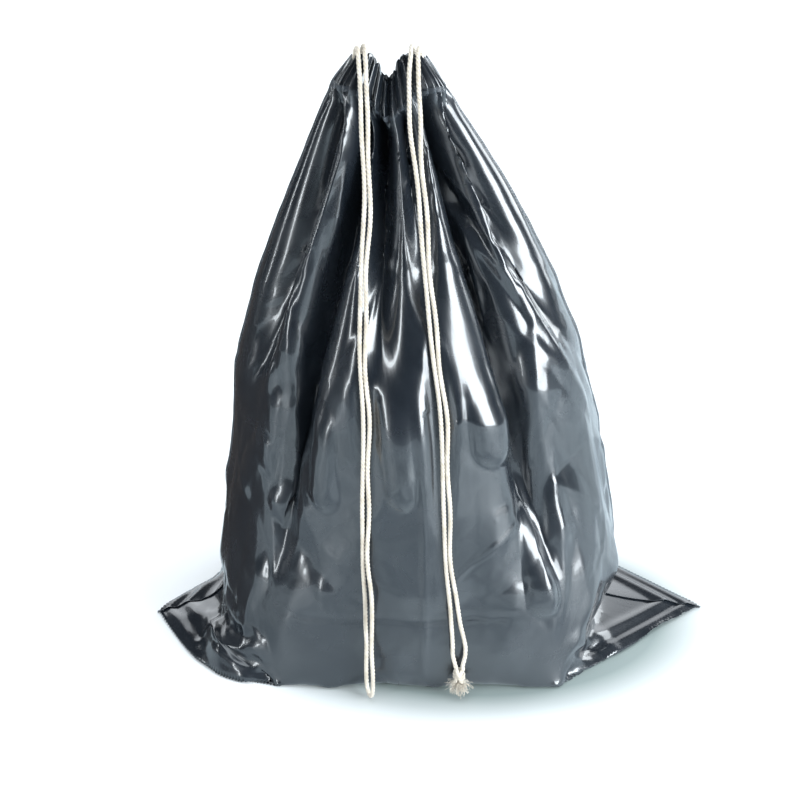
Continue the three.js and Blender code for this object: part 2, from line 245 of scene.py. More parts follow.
# %% The valleys between the folds
# Each valley runs down through (height, azimuth in degrees) and dies out at its foot. Its depth is in
# metres, its reach is the share of the room between two valleys that it takes, and trench is how much of
# its depth is a narrow cleft.
Valley = namedtuple("Valley", "path foot depth reach trench")
VALLEYS = [
    Valley([(0.40, 14), (0.37, 20), (0.30, 21), (0.20, 20), (0.10, 18)], 0.17, 0.015, 0.40, 0.3),
    Valley([(0.40, 34), (0.37, 41), (0.30, 46), (0.20, 46), (0.08, 47)], 0.045, 0.029, 0.50, 0.55),
    Valley([(0.40, 68), (0.34, 75), (0.27, 81), (0.20, 86)], 0.21, 0.017, 0.40, 0.45),
    Valley([(0.40, 97), (0.33, 102), (0.26, 103), (0.2, 103)], 0.19, 0.027, 0.46, 0.55),
    Valley([(0.40, 120), (0.34, 124), (0.28, 131), (0.22, 136), (0.12, 140)], 0.05, 0.028, 0.46, 0.55),
    Valley([(0.40, 150), (0.36, 153), (0.26, 158), (0.13, 161)], 0.13, 0.017, 0.42, 0.3),
    Valley([(0.40, 196), (0.30, 200), (0.10, 204)], 0.17, 0.016, 0.42, 0.3),
    Valley([(0.40, 220), (0.30, 222), (0.08, 226)], 0.05, 0.027, 0.48, 0.55),
    Valley([(0.40, 243), (0.30, 247), (0.15, 250)], 0.19, 0.018, 0.42, 0.4),
    Valley([(0.40, 268), (0.30, 268), (0.10, 271)], 0.11, 0.026, 0.48, 0.55),
    Valley([(0.40, 292), (0.30, 291), (0.18, 290)], 0.19, 0.018, 0.42, 0.4),
    Valley([(0.40, 316), (0.30, 312), (0.06, 311)], 0.04, 0.028, 0.48, 0.55),
    Valley([(0.40, 340), (0.30, 336), (0.18, 335)], 0.17, 0.017, 0.42, 0.3),
]
FLAT_WIDTH = 0.400
FLAT_HEIGHT = 0.545
CORNER = 0.104
CLEFT = 0.0085
FADE = 0.15
USED_WIDTH = 0.985
DEEPEST_SHARE = 0.86


def valley_depths(height, azimuth, arc):
    """How far the valleys push the outline in, at each of its points."""
    girth = arc[-1]
    room = girth / len(VALLEYS)
    cleft = min(CLEFT, 0.28 * room)
    deepest = np.zeros(len(azimuth))
    for valley in VALLEYS:
        heights, places = zip(*valley.path[::-1])
        centre = np.interp(np.interp(height, heights, places), np.degrees(azimuth), arc)
        away = np.abs((arc - centre + girth / 2) % girth - girth / 2)
        width = 2 * valley.reach * room * (1 + 0.35 * smooth_step(0.25, 0.05, height))
        soft = np.clip(1 - away / width, 0, 1) ** 1.9
        sharp = np.exp(-(away / cleft) ** 2)
        depth = valley.depth * smooth_step(valley.foot, valley.foot + FADE, height)
        deepest = np.maximum(deepest, depth * ((1 - valley.trench) * soft + valley.trench * sharp))
    return deepest


def folded_ring(height, columns):
    """The film at one height, as evenly spaced points: the front from left to right, then the back."""
    azimuth = np.linspace(0, 2 * np.pi, RING_POINTS)
    x, y = outline_points(azimuth, height)
    middle = outline_at(height)[0]
    nx, ny = outward(x, y, middle)
    depths = valley_depths(height, azimuth, running_length(x, y))
    deepest = DEEPEST_SHARE * np.hypot(x - middle, y)
    low, high = 0.0, 1.35
    for _ in range(12):
        scale = 0.5 * (low + high)
        inward = np.minimum(depths * scale, deepest)
        if running_length(x - nx * inward, y - ny * inward)[-1] < 2 * FLAT_WIDTH * USED_WIDTH:
            low = scale
        else:
            high = scale
    inward = np.minimum(depths * low, deepest)
    x, y = x - nx * inward, y - ny * inward
    half = RING_POINTS // 2
    ring = np.zeros((2 * columns, 2))
    for first, part in ((0, slice(0, half + 1)), (columns, slice(half, None))):
        px, py = x[part][::-1], y[part][::-1]
        along = running_length(px, py)
        even = np.linspace(0, along[-1], columns + 1)[:columns]
        ring[first:first + columns] = np.stack([np.interp(even, along, px), np.interp(even, along, py)], 1)
    return ring


# %% The gathered mouth
# The cord pulls the hem into fine pleats.
PLEATS = 34
PLEAT_DEPTH = 0.0055


def gathered_ring(height, columns):
    count = 2 * columns
    azimuth = np.linspace(np.pi, -np.pi, RING_POINTS)
    x, y = outline_points(azimuth, height)
    along = running_length(x, y)
    share = np.arange(count) / count
    px, py = np.interp(share * along[-1], along, x), np.interp(share * along[-1], along, y)
    nx, ny = outward(np.append(px, px[0]), np.append(py, py[0]), outline_at(height)[0])
    depth = min(PLEAT_DEPTH, 0.6 * outline_at(height)[2])
    fold = 1 - np.abs(2 * ((share * PLEATS) % 1) - 1)
    uneven = 1 + 0.3 * np.sin(2 * np.pi * 7 * share + 1) * np.sin(2 * np.pi * 11 * share)
    inward = depth * fold * uneven
    return np.stack([px - nx[:-1] * inward, py - ny[:-1] * inward], 1)


# %% The whole film, drawn
LEFT_TIP = (-0.196, -0.011)
RIGHT_TIP = (0.195, -0.005)
LEFT_CORNER_X = -0.1015
RIGHT_CORNER_X = 0.0860
FILM_LIFT = 0.0004
LEFT_FLARE = 0.016
RIGHT_FLARE = 0.007
BASE_FLARE = 0.004
GATHER_START = 0.372
GATHER_END = 0.398
WALL_LIFT = 0.0012


def flat_across(columns):
    """Where each column lies across the flat film, from seam to seam and back."""
    front = np.linspace(-FLAT_WIDTH / 2, FLAT_WIDTH / 2, columns + 1)
    return np.concatenate([front, front[::-1][1:-1]])


def base_edge(columns):
    """Where the film turns up from the floor: the base's outline and the edges of the two ears."""
    across = flat_across(columns)
    front = np.concatenate([np.ones(columns + 1), -np.ones(columns - 1)])
    inner = FLAT_WIDTH / 2 - CORNER
    toward_tip = np.clip((np.abs(across) - inner) / CORNER, 0, 1)
    left = across < 0
    corner_x = np.where(left, LEFT_CORNER_X, RIGHT_CORNER_X)
    tip_x = np.where(left, LEFT_TIP[0], RIGHT_TIP[0])
    tip_y = np.where(left, LEFT_TIP[1], RIGHT_TIP[1])
    x = corner_x + (tip_x - corner_x) * toward_tip
    y = -front * CORNER * (1 - toward_tip) + tip_y * toward_tip
    # the left ear is rumpled, and its front edge bows out
    bow = np.sin(np.pi * toward_tip) * left * (front > 0)
    x += -0.006 * bow
    y += -0.022 * bow
    base = toward_tip == 0
    x[base] = np.interp(across[base], (-inner, inner), (LEFT_CORNER_X, RIGHT_CORNER_X))
    y[base] = (-front * (CORNER + 0.0015 * np.sin(across * 90 + 1)))[base]
    return x, y, toward_tip, tip_y * toward_tip


def drawn_film(columns, rows):
    """A grid of points, rows from the bottom weld to the mouth and columns round the bag."""
    up = np.linspace(0, FLAT_HEIGHT, rows + 1)
    heights = np.linspace(0, MOUTH_HEIGHT, 2 * rows + 1)
    across = flat_across(columns)
    edge_x, edge_y, toward_tip, weld_y = base_edge(columns)
    turn = np.where(toward_tip > 0, FLAT_WIDTH / 2 - np.abs(across), CORNER)
    rings = np.stack([folded_ring(height, columns) for height in heights])
    gather = smooth_step(GATHER_START, GATHER_END, heights)[:, None, None]
    top = heights > GATHER_START
    pleats = np.stack([gathered_ring(height, columns) for height in heights[top]])
    rings[top] = rings[top] * (1 - gather[top]) + pleats * gather[top]
    # low down, the sides of the bag run out into the ears
    flare = np.where(across < 0, LEFT_FLARE, RIGHT_FLARE)
    ear = smooth_step(0, 0.25, toward_tip)
    spread = np.maximum(np.exp(-heights[:, None] / flare) * ear,
                        np.exp(-heights[:, None] / BASE_FLARE) * (1 - ear))
    rings[..., 0] += (edge_x - rings[..., 0]) * spread
    rings[..., 1] += (edge_y - rings[..., 1]) * spread
    film = np.zeros((rows + 1, len(across), 3))
    for k in range(len(across)):
        wall = np.stack([rings[:, k, 0], rings[:, k, 1], heights], 1)
        along = np.concatenate([[0], np.cumsum(np.linalg.norm(np.diff(wall, axis=0), axis=1))])
        share = np.clip((up - turn[k]) / (FLAT_HEIGHT - turn[k]), 0, 1) * along[-1]
        on_floor = up <= turn[k] + 1e-9
        out = np.clip(up / max(turn[k], 1e-6), 0, 1)
        film[:, k, 0] = np.where(on_floor, edge_x[k], np.interp(share, along, wall[:, 0]))
        film[:, k, 1] = np.where(on_floor, weld_y[k] + (edge_y[k] - weld_y[k]) * out,
                                 np.interp(share, along, wall[:, 1]))
        film[:, k, 2] = np.where(on_floor, 0, np.interp(share, along, wall[:, 2]) + WALL_LIFT) + FILM_LIFT
    return film


FRONT_DIP = 0.019
BACK_DIP = 0.024
SIDE_DIP = 0.006


def dip_mouth(film):
    """The mouth's edge dips between the two pairs of cords and at the sides."""
    azimuth = np.degrees(np.arctan2(-film[..., 1], film[..., 0] - MOUTH_CENTRE))
    dip = FRONT_DIP * np.exp(-((azimuth - 90) / 30) ** 2)
    dip += BACK_DIP * np.exp(-((azimuth + 90) / 52) ** 2)
    dip += SIDE_DIP * (np.exp(-((np.abs(azimuth) - 180) / 28) ** 2) + np.exp(-(azimuth / 28) ** 2))
    film[..., 2] -= dip * smooth_step(0.32, MOUTH_HEIGHT, film[..., 2])
    return film


# %% [markdown]
# ## Creases and dents
#
# Thin film remembers every fold. It has straight creases from the packet that it came in, and it is
# rumpled where it has been squeezed. Both are added as small moves along the film's own normal. Rumples
# use the absolute value of smooth noise: it is zero along crooked lines, which gives sharp creases with
# soft panels between them, as real film has. The creases, the hanging folds and some of the dents are
# listed one by one, and the rest of the dents are scattered.

# %% Noise on the film
def film_noise(columns, rows, wide, tall, seed):
    """Smooth noise from -1 to 1 on the flat film, with cells wide by tall metres."""
    count_across = max(4, round(2 * FLAT_WIDTH / wide))
    count_up = max(3, round(FLAT_HEIGHT / tall))
    values = np.random.default_rng(seed).uniform(-1, 1, (count_up + 3, count_across))
    u = np.arange(2 * columns) / (2 * columns) * count_across
    v = np.arange(rows + 1) / rows * count_up
    iu, iv = np.floor(u).astype(int), np.floor(v).astype(int)
    fu, fv = smooth_step(0, 1, u - iu)[None, :], smooth_step(0, 1, v - iv)[:, None]

    def corner(down, right):
        return values[np.ix_(iv + down, (iu + right) % count_across)]

    return ((corner(0, 0) * (1 - fu) + corner(0, 1) * fu) * (1 - fv)
            + (corner(1, 0) * (1 - fu) + corner(1, 1) * fu) * fv)


def rumples(columns, rows, wide, tall, seed):
    return 0.5 - np.abs(film_noise(columns, rows, wide, tall, seed)) * 1.6


# %% Where the film is rumpled
Crease = namedtuple("Crease", "across up turn long reach height")
PACKET_CREASES = [
    # The line down the middle of the front, and the lines across it.
    Crease(0.004, 0.215, math.pi / 2, 0.120, 0.034, 0.0034),
    Crease(0.004, 0.205, math.pi / 2, 0.130, 0.004, 0.0009),
    Crease(-0.010, 0.160, 0.02, 0.090, 0.004, -0.0005),
    Crease(0.045, 0.208, 0.62, 0.045, 0.004, 0.0005),
    Crease(-0.098, 0.240, math.pi / 2, 0.100, 0.012, -0.0007),
    Crease(-0.015, 0.160, 0.02, 0.080, 0.020, -0.0010),
    Crease(0.035, 0.236, 0.00, 0.055, 0.020, 0.0004),
    Crease(0.050, 0.300, -0.03, 0.040, 0.016, 0.0014),
    Crease(0.020, 0.405, 0.04, 0.070, 0.008, 0.0006),
    # Slanting ones, from where the film was pulled towards the corners.
    Crease(0.045, 0.208, 0.62, 0.045, 0.020, 0.0016),
    Crease(0.030, 0.172, 0.35, 0.040, 0.016, -0.0012),
    Crease(0.065, 0.165, -0.80, 0.045, 0.018, 0.0013),
    Crease(-0.035, 0.190, -0.55, 0.040, 0.018, 0.0014),
    Crease(-0.060, 0.225, 0.90, 0.045, 0.018, -0.0014),
    Crease(-0.075, 0.165, 0.70, 0.045, 0.020, 0.0014),
    Crease(-0.020, 0.250, 0.75, 0.035, 0.014, 0.0012),
]


Dent = namedtuple("Dent", "across up wide tall turn depth")


def scattered_dents():
    """Sharp dents with flat sides, where the film has been squeezed: most of them near the side welds."""
    random = np.random.default_rng(11)
    dents = []
    for count, wide, depth, toward_sides in ((70, 0.026, 0.0032, 0.9), (170, 0.012, 0.0012, 1.7)):
        for _ in range(count):
            across = random.choice([-1, 1]) * 0.2 * (1 - random.uniform(0, 1) ** toward_sides * 0.85)
            size = random.uniform(0.5, 1.1)
            slant = np.radians(random.normal(0, 26))
            sign = random.choice([-1, 1])
            up = random.uniform(0.10, 0.47)
            calm = 0.4 + 0.6 * smooth_step(0.03, 0.12, abs(across))
            calm *= 1 - 0.75 * smooth_step(0.28, 0.40, up)
            dents.append(Dent(across, up, wide * size, wide * size * random.uniform(2.0, 4.5), slant,
                              sign * depth * size * calm))
    return dents


def ear_dents():
    """The left corner is badly crumpled where the film was gathered over it."""
    random = np.random.default_rng(5)
    dents = []
    for _ in range(15):
        across = -random.uniform(0.115, 0.190)
        size = random.uniform(0.6, 1.1)
        dents.append(Dent(across, 0.2 + across + random.uniform(0.008, 0.07), 0.019 * size, 0.050 * size,
                          np.radians(random.uniform(-60, 0)), random.uniform(-0.1, 1) * 0.0060 * size))
    return dents


def dented(columns, rows, dents):
    """Heights of four-sided pyramids on one panel of the flat film."""
    across = np.linspace(-FLAT_WIDTH / 2, FLAT_WIDTH / 2, columns + 1)[None, :]
    up = np.linspace(0, FLAT_HEIGHT, rows + 1)[:, None]
    height = np.zeros((rows + 1, columns + 1))
    for dent in dents:
        aside, above = across - dent.across, up - dent.up
        u = aside * np.cos(dent.turn) + above * np.sin(dent.turn)
        v = above * np.cos(dent.turn) - aside * np.sin(dent.turn)
        height += dent.depth * np.maximum(1 - np.abs(u) / dent.wide - np.abs(v) / dent.tall, 0)
    return height


# The loose ends of folds that hang over the front, and the pinches between them.
SQUEEZED = [
    # across, up, wide, tall, turn, depth
    Dent(-0.0280, 0.345, 0.012, 0.050, -0.20, 0.0022),
    Dent(0.0200, 0.350, 0.012, 0.055, 0.15, 0.0022),
    Dent(-0.0800, 0.235, 0.020, 0.080, 0.25, 0.0035),
    Dent(0.0520, 0.215, 0.028, 0.090, -0.12, 0.0020),
    Dent(0.0860, 0.190, 0.016, 0.060, 0.10, 0.0045),
    Dent(0.0100, 0.175, 0.030, 0.060, -0.40, 0.0016),
    Dent(-0.0500, 0.160, 0.030, 0.050, 0.50, 0.0016),
    Dent(0.0600, 0.135, 0.022, 0.030, 0.30, 0.0020),
    Dent(-0.0150, 0.120, 0.018, 0.022, -0.20, 0.0022),
    Dent(0.1150, 0.400, 0.012, 0.060, -0.25, 0.0030),
    Dent(0.1350, 0.360, 0.016, 0.055, 0.35, -0.0035),
    Dent(0.1250, 0.300, 0.020, 0.060, -0.40, 0.0040),
    Dent(0.1550, 0.320, 0.018, 0.080, 0.20, 0.0040),
    Dent(0.1400, 0.240, 0.022, 0.055, 0.30, -0.0040),
    Dent(0.1100, 0.200, 0.016, 0.060, -0.30, 0.0035),
    Dent(-0.1250, 0.330, 0.016, 0.070, 0.20, 0.0035),
    Dent(-0.1450, 0.270, 0.018, 0.060, -0.35, -0.0035),
    Dent(-0.1200, 0.220, 0.016, 0.060, 0.35, 0.0035),
    Dent(-0.1150, 0.430, 0.010, 0.045, 0.15, 0.0025),
    Dent(0.1200, 0.430, 0.015, 0.050, 0.30, -0.0055),
    Dent(0.0950, 0.385, 0.012, 0.055, 0.15, -0.0040),
    Dent(0.1500, 0.405, 0.014, 0.045, -0.20, -0.0045),
]


# Folds that hang over the front like half tubes. Each has a rounded end, and runs up into the film above.
# Where its end is, half its width, how far up it reaches and how far it stands out are in metres.
HangingFold = namedtuple("HangingFold", "across end wide tall depth")
HANGING_FOLDS = [
    HangingFold(-0.112, 0.210, 0.012, 0.120, 0.0060),
    HangingFold(-0.064, 0.236, 0.011, 0.100, 0.0050),
    HangingFold(-0.011, 0.240, 0.0105, 0.090, 0.0042),
    HangingFold(0.056, 0.268, 0.018, 0.075, 0.0055),
    HangingFold(0.084, 0.156, 0.012, 0.130, 0.0055),
]
FOLD_TIP = 0.016
FOLD_ROUNDNESS = 0.8


def hanging_folds(columns, rows):
    across = np.linspace(-FLAT_WIDTH / 2, FLAT_WIDTH / 2, columns + 1)[None, :]
    up = np.linspace(0, FLAT_HEIGHT, rows + 1)[:, None]
    height = np.zeros((rows + 1, columns + 1))
    for fold in HANGING_FOLDS:
        above = up - fold.end
        in_tip = np.maximum(1 - above / FOLD_TIP, 0)
        tube = np.maximum(1 - ((across - fold.across) / fold.wide) ** 2 - in_tip ** 2, 0) ** FOLD_ROUNDNESS
        height += fold.depth * tube * smooth_step(fold.tall, 0.2 * fold.tall, above)
    return height


def all_dents(columns, rows):
    scattered = scattered_dents()
    front = dented(columns, rows, scattered[::2] + SQUEEZED + ear_dents()) + hanging_folds(columns, rows)
    back = dented(columns, rows, scattered[1::2] + ear_dents())[:, ::-1]
    return np.concatenate([front, back[:, 1:-1]], 1)


def ear_ridges(columns, rows):
    """Straight ridges on the ears, along the edges where the film turns under."""
    across = flat_across(columns)[None, :]
    up = np.linspace(0, FLAT_HEIGHT, rows + 1)[:, None]
    from_edge = (up - (FLAT_WIDTH / 2 - np.abs(across))) / math.sqrt(2)
    on_ear = smooth_step(0.098, 0.112, np.abs(across)) * (up < 0.2)
    return on_ear * sum(height * np.maximum(1 - np.abs(from_edge - place) / width, 0)
                        for place, width, height in ((0.007, 0.004, 0.0016), (0.019, 0.007, 0.0026)))


def packet_creases(columns, rows):
    """Straight creases with flat sides: the film tilts one way before each, and the other way after it."""
    across = flat_across(columns)[None, :]
    up = np.linspace(0, FLAT_HEIGHT, rows + 1)[:, None]
    height = np.zeros((rows + 1, 2 * columns))
    for crease in PACKET_CREASES:
        aside, above = across - crease.across, up - crease.up
        along = np.abs(aside * np.cos(crease.turn) + above * np.sin(crease.turn))
        away = np.abs(above * np.cos(crease.turn) - aside * np.sin(crease.turn))
        height += (crease.height * np.maximum(1 - away / crease.reach, 0)
                   * smooth_step(crease.long, 0.6 * crease.long, along))
    return height * smooth_step(0.103, 0.112, up)


def rumpling(columns, rows):
    """How rumpled each part of the film is, from 0 to about 1.5."""
    across = np.abs(flat_across(columns))[None, :]
    up = np.linspace(0, FLAT_HEIGHT, rows + 1)[:, None]
    sides = smooth_step(0.08, 0.15, across)
    upper = smooth_step(0.15, 0.32, up)
    amount = 0.28 + 0.1 * upper + 0.9 * sides * smooth_step(0.0, 0.06, up)
    return amount * smooth_step(FLAT_HEIGHT, FLAT_HEIGHT - 0.05, up)


def film_normals(film):
    round_bag = np.roll(film, -1, 1) - np.roll(film, 1, 1)
    normals = np.cross(round_bag, np.gradient(film, axis=0))
    return normals / (np.linalg.norm(normals, axis=2, keepdims=True) + 1e-12)


def push_out(film, distance):
    return film + film_normals(film) * distance[..., None]


# %% [markdown]
# ## Letting the film settle
#
# The relaxation is a small cloth solver. In each round the film is pulled gently towards the drawn
# shape, blown up a little by what fills the bag, smoothed like a springy sheet, and then every short
# edge that is too long or too short is put right. Film hardly stretches, but it buckles easily, so an
# edge that is too short is only put partly right. The film also stays behind the cords that lie on it.
# Nothing in it stops the film from passing through itself.

# %% The cords press on the film
CORD_CLEARANCE = 0.0018
GROOVE = 0.007


def cord_grooves(points):
    """For each height, where each strand lies: used to keep the film behind it."""
    order = np.argsort(points[:, 2])
    return points[order]


strand_lines = [cord_grooves(smooth_line(metres(points)))
                for points in (LEFT_OUTER, LEFT_INNER, RIGHT_INNER, RIGHT_OUTER)]


def keep_behind_cords(film):
    half = film.shape[1] // 2
    front = film[:, :half + 1]
    for strand in strand_lines:
        x = np.interp(front[..., 2], strand[:, 2], strand[:, 0])
        y = np.interp(front[..., 2], strand[:, 2], strand[:, 1])
        aside = np.abs(front[..., 0] - x) / GROOVE
        limit = y + CORD_CLEARANCE - 0.004 * np.maximum(aside - 0.25, 0) ** 2
        near = (aside < 1) & (front[..., 2] > 0.02) & (front[..., 2] < 0.40)
        front[..., 1] = np.where(near & (front[..., 1] < limit), limit, front[..., 1])
    film[:, :half + 1] = front


# %% The relaxation
def blurred(grid, times):
    for _ in range(times):
        grid = 0.5 * grid + 0.25 * (np.roll(grid, 1, 1) + np.roll(grid, -1, 1))
        grid[1:-1] = 0.5 * grid[1:-1] + 0.25 * (grid[:-2] + grid[2:])
    return grid


def edge_fix(edge, rest, squash):
    length = np.sqrt((edge * edge).sum(-1)) + 1e-12
    error = (length - rest) / length
    return edge * (np.where(error > 0, 0.5, 0.5 * squash) * error)[..., None]


def spring(film, crease):
    """How far each point moves to even out the film, less where it is creased."""
    bend = np.zeros(film.shape)
    bend[1:-1] = (np.roll(film, 1, 1) + np.roll(film, -1, 1))[1:-1] + film[:-2] + film[2:] - 4 * film[1:-1]
    normals = film_normals(film)
    amount = (bend * normals).sum(-1)
    return normals, amount / (1 + (amount / crease) ** 2)


def settle(film, drawn, loose, slack, rounds, pressure, stiffness, crease, blur, pull, squash=0.5):
    rows, count = film.shape[:2]
    round_rest = np.linalg.norm(np.roll(drawn, -1, 1) - drawn, axis=2) * slack
    up_rest = np.linalg.norm(drawn[1:] - drawn[:-1], axis=2) * slack[1:]
    slant_rest = {side: np.linalg.norm(np.roll(drawn, -side, 1)[1:] - drawn[:-1], axis=2) * slack[1:]
                  for side in (1, -1)}
    weight = loose.astype(float)[..., None]
    mirror = (count - np.arange(count)) % count
    for _ in range(rounds):
        film = film + blurred(drawn - film, blur) * pull[..., None] * weight
        normals, amount = spring(film, crease)
        film = film + normals * ((stiffness * 0.25 * amount + pressure)[..., None] * weight)
        film[0] = 0.5 * (film[0] + film[0][mirror])
        for first in (0, 1):
            here = np.arange(first, count, 2)
            there = (here + 1) % count
            fix = edge_fix(film[:, there] - film[:, here], round_rest[:, here], squash)
            film[:, here] += fix * weight[:, here]
            film[:, there] -= fix * weight[:, there]
            low = np.arange(first, rows - 1, 2)
            fix = edge_fix(film[low + 1] - film[low], up_rest[low], squash)
            film[low] += fix * weight[low]
            film[low + 1] -= fix * weight[low + 1]
            for side in (1, -1):
                fix = edge_fix(np.roll(film, -side, 1)[low + 1] - film[low], slant_rest[side][low],
                               0.25 * squash)
                film[low] += fix * weight[low]
                film[low + 1] -= np.roll(fix, side, 1) * weight[low + 1]
        keep_behind_cords(film)
        film[..., 2] = np.maximum(film[..., 2], FILM_LIFT)
    return film


def finer(film):
    """The grid with twice as many rows and columns, on smooth curves through the old points."""
    rows, count = film.shape[:2]
    wide = np.zeros((rows, 2 * count, 3))
    wide[:, ::2] = film
    wide[:, 1::2] = (9 * (film + np.roll(film, -1, 1)) - np.roll(film, 1, 1) - np.roll(film, -2, 1)) / 16
    padded = np.concatenate([2 * wide[:1] - wide[1:2], wide, 2 * wide[-1:] - wide[-2:-1]])
    tall = np.zeros((2 * rows - 1, 2 * count, 3))
    tall[::2] = wide
    tall[1::2] = (9 * (padded[1:-2] + padded[2:-1]) - padded[:-3] - padded[3:]) / 16
    return tall


# %% The film from coarse to fine
BASE_COLUMNS = 50
BASE_ROWS = 68
HEM_EDGE = 0.027
RUMPLE_DEPTH = 0.0016
RUMPLE_WIDE = 0.040
RUMPLE_TALL = 0.100
PLAIN_SLACK = 1.002
SIDE_SLACK = 0.012
DETAIL_FADE = (0.531, 0.50)
Stage = namedtuple("Stage", "rounds pressure stiffness crease blur")
STAGES = [
    Stage(160, 3e-5, 0.30, 0.0050, 2),
    Stage(120, 1.5e-5, 0.60, 0.0030, 3),
    Stage(70, 1e-5, 0.80, 0.0012, 4),
]


def make_film():
    film = None
    for number, stage in enumerate(STAGES):
        columns, rows = BASE_COLUMNS * 2 ** number, BASE_ROWS * 2 ** number
        up = np.linspace(0, FLAT_HEIGHT, rows + 1)[:, None] * np.ones((1, 2 * columns))
        drawn = dip_mouth(drawn_film(columns, rows))
        rough = (rumpling(columns, rows) * RUMPLE_DEPTH
                 * rumples(columns, rows, RUMPLE_WIDE, RUMPLE_TALL, 3))
        drawn = push_out(drawn, rough)
        film = drawn.copy() if film is None else finer(film)
        loose = up <= FLAT_HEIGHT - HEM_EDGE
        film[~loose] = drawn[~loose]
        sides = smooth_step(0.09, 0.15, np.abs(flat_across(columns)))[None, :]
        slack = PLAIN_SLACK + SIDE_SLACK * sides * smooth_step(0.08, 0.14, up)
        pull = np.where(up < 0.12, 0.05, 0.04)
        film = settle(film, drawn, loose, slack, stage.rounds, stage.pressure, stage.stiffness,
                      stage.crease, stage.blur, pull)
    detail = all_dents(columns, rows) + ear_ridges(columns, rows) + packet_creases(columns, rows)
    detail *= smooth_step(*DETAIL_FADE, up)
    film = push_out(film, detail * smooth_step(0.0, 0.003, film[..., 2]))
    keep_behind_cords(film)
    film[..., 2] = np.maximum(film[..., 2], FILM_LIFT)
    return film


film = make_film()
print("film grid:", film.shape[:2])
print("lowest:", film.min((0, 1)).round(4), "highest:", film.max((0, 1)).round(4))

# %% [markdown]
# ## From a grid of points to pieces
#
# Any run of rows and columns of the grid is a sheet. Each point also keeps its place on the flat film, in
# metres, as its UV, so that creases and wrinkles in the material follow the film and not the room.

# %% Sheets from grids
def sheet_from_grid(name, points, flat, material, smooth=True):
    """A mesh from rows and columns of points, with each point's place on the flat film."""
    rows, columns = points.shape[:2]
    index = np.arange(rows * columns).reshape(rows, columns)
    corners = np.stack([index[:-1, :-1], index[:-1, 1:], index[1:, 1:], index[1:, :-1]], -1).reshape(-1, 4)
    mesh = bpy.data.meshes.new(name)
    mesh.from_pydata(points.reshape(-1, 3).tolist(), [], corners.tolist())
    uv = mesh.uv_layers.new(name="flat_film")
    uv.data.foreach_set("uv", flat.reshape(-1, 2)[corners.ravel()].astype(np.float32).ravel())
    mesh.polygons.foreach_set("use_smooth", [smooth] * len(mesh.polygons))
    mesh.materials.append(material)
    piece = bpy.data.objects.new(name, mesh)
    bpy.context.collection.objects.link(piece)
    return piece


def flat_places(film):
    rows, count = film.shape[:2]
    across = flat_across(count // 2)
    up = np.linspace(0, FLAT_HEIGHT, rows)
    return np.stack(np.meshgrid(across, up), -1)


def side_columns(film, side):
    """The column numbers of the front or the back, seam to seam, both seams included."""
    half = film.shape[1] // 2
    if side == "front":
        return np.arange(half + 1)
    return np.append(np.arange(half, 2 * half), 0)


# %% [markdown]
# ## Finishes
#
# The film is dark grey plastic with a high gloss: nearly everything that is seen on it is a reflection,
# so its fine wrinkles matter more than its colour. Two small groups of nodes make patterns that are used
# more than once: wrinkles finer than the mesh, at two sizes in the film, and cloudy marks, which vary the
# colour of the film, the welds and the cotton, and the gloss of the first two.

# %% Helpers for nodes
def add_node(tree, kind, inputs=None, **settings):
    """A node with its settings. An input is given a value, or the socket that feeds it."""
    node = tree.nodes.new(kind)
    for name, value in settings.items():
        setattr(node, name, value)
    for key, value in (inputs or {}).items():
        if isinstance(value, bpy.types.NodeSocket):
            tree.links.new(value, node.inputs[key])
        else:
            node.inputs[key].default_value = value
    return node


def new_group(name, kind, inputs, outputs):
    """An empty node group with named sockets, whose inputs are (name, type, value)."""
    tree = bpy.data.node_groups.new(name, kind)
    for title, socket_type, value in inputs:
        socket = tree.interface.new_socket(title, in_out="INPUT", socket_type=socket_type)
        if value is not None:
            socket.default_value = value
    for title, socket_type in outputs:
        tree.interface.new_socket(title, in_out="OUTPUT", socket_type=socket_type)
    return tree, tree.nodes.new("NodeGroupInput").outputs, tree.nodes.new("NodeGroupOutput").inputs


# %% Wrinkles finer than the mesh
def make_fine_wrinkles():
    tree, given, out = new_group("fine_wrinkles", "ShaderNodeTree",
                                 [("Vector", "NodeSocketVector", None), ("Width", "NodeSocketFloat", 0.01),
                                  ("Length", "NodeSocketFloat", 0.04)],
                                 [("Height", "NodeSocketFloat")])
    across = add_node(tree, "ShaderNodeMath", {0: 1.0, 1: given["Width"]}, operation="DIVIDE")
    along = add_node(tree, "ShaderNodeMath", {0: 1.0, 1: given["Length"]}, operation="DIVIDE")
    scale = add_node(tree, "ShaderNodeCombineXYZ", {"X": across.outputs[0], "Y": along.outputs[0], "Z": 1.0})
    place = add_node(tree, "ShaderNodeVectorMath", {0: given["Vector"], 1: scale.outputs[0]},
                     operation="MULTIPLY")
    noise = add_node(tree, "ShaderNodeTexNoise", {"Vector": place.outputs[0], "Scale": 1.0, "Detail": 3.0,
                                                  "Roughness": 0.55})
    middle = add_node(tree, "ShaderNodeMath", {0: noise.outputs["Fac"], 1: 0.5}, operation="SUBTRACT")
    fold = add_node(tree, "ShaderNodeMath", {0: middle.outputs[0]}, operation="ABSOLUTE")
    tree.links.new(fold.outputs[0], out["Height"])
    return tree


fine_wrinkles = make_fine_wrinkles()


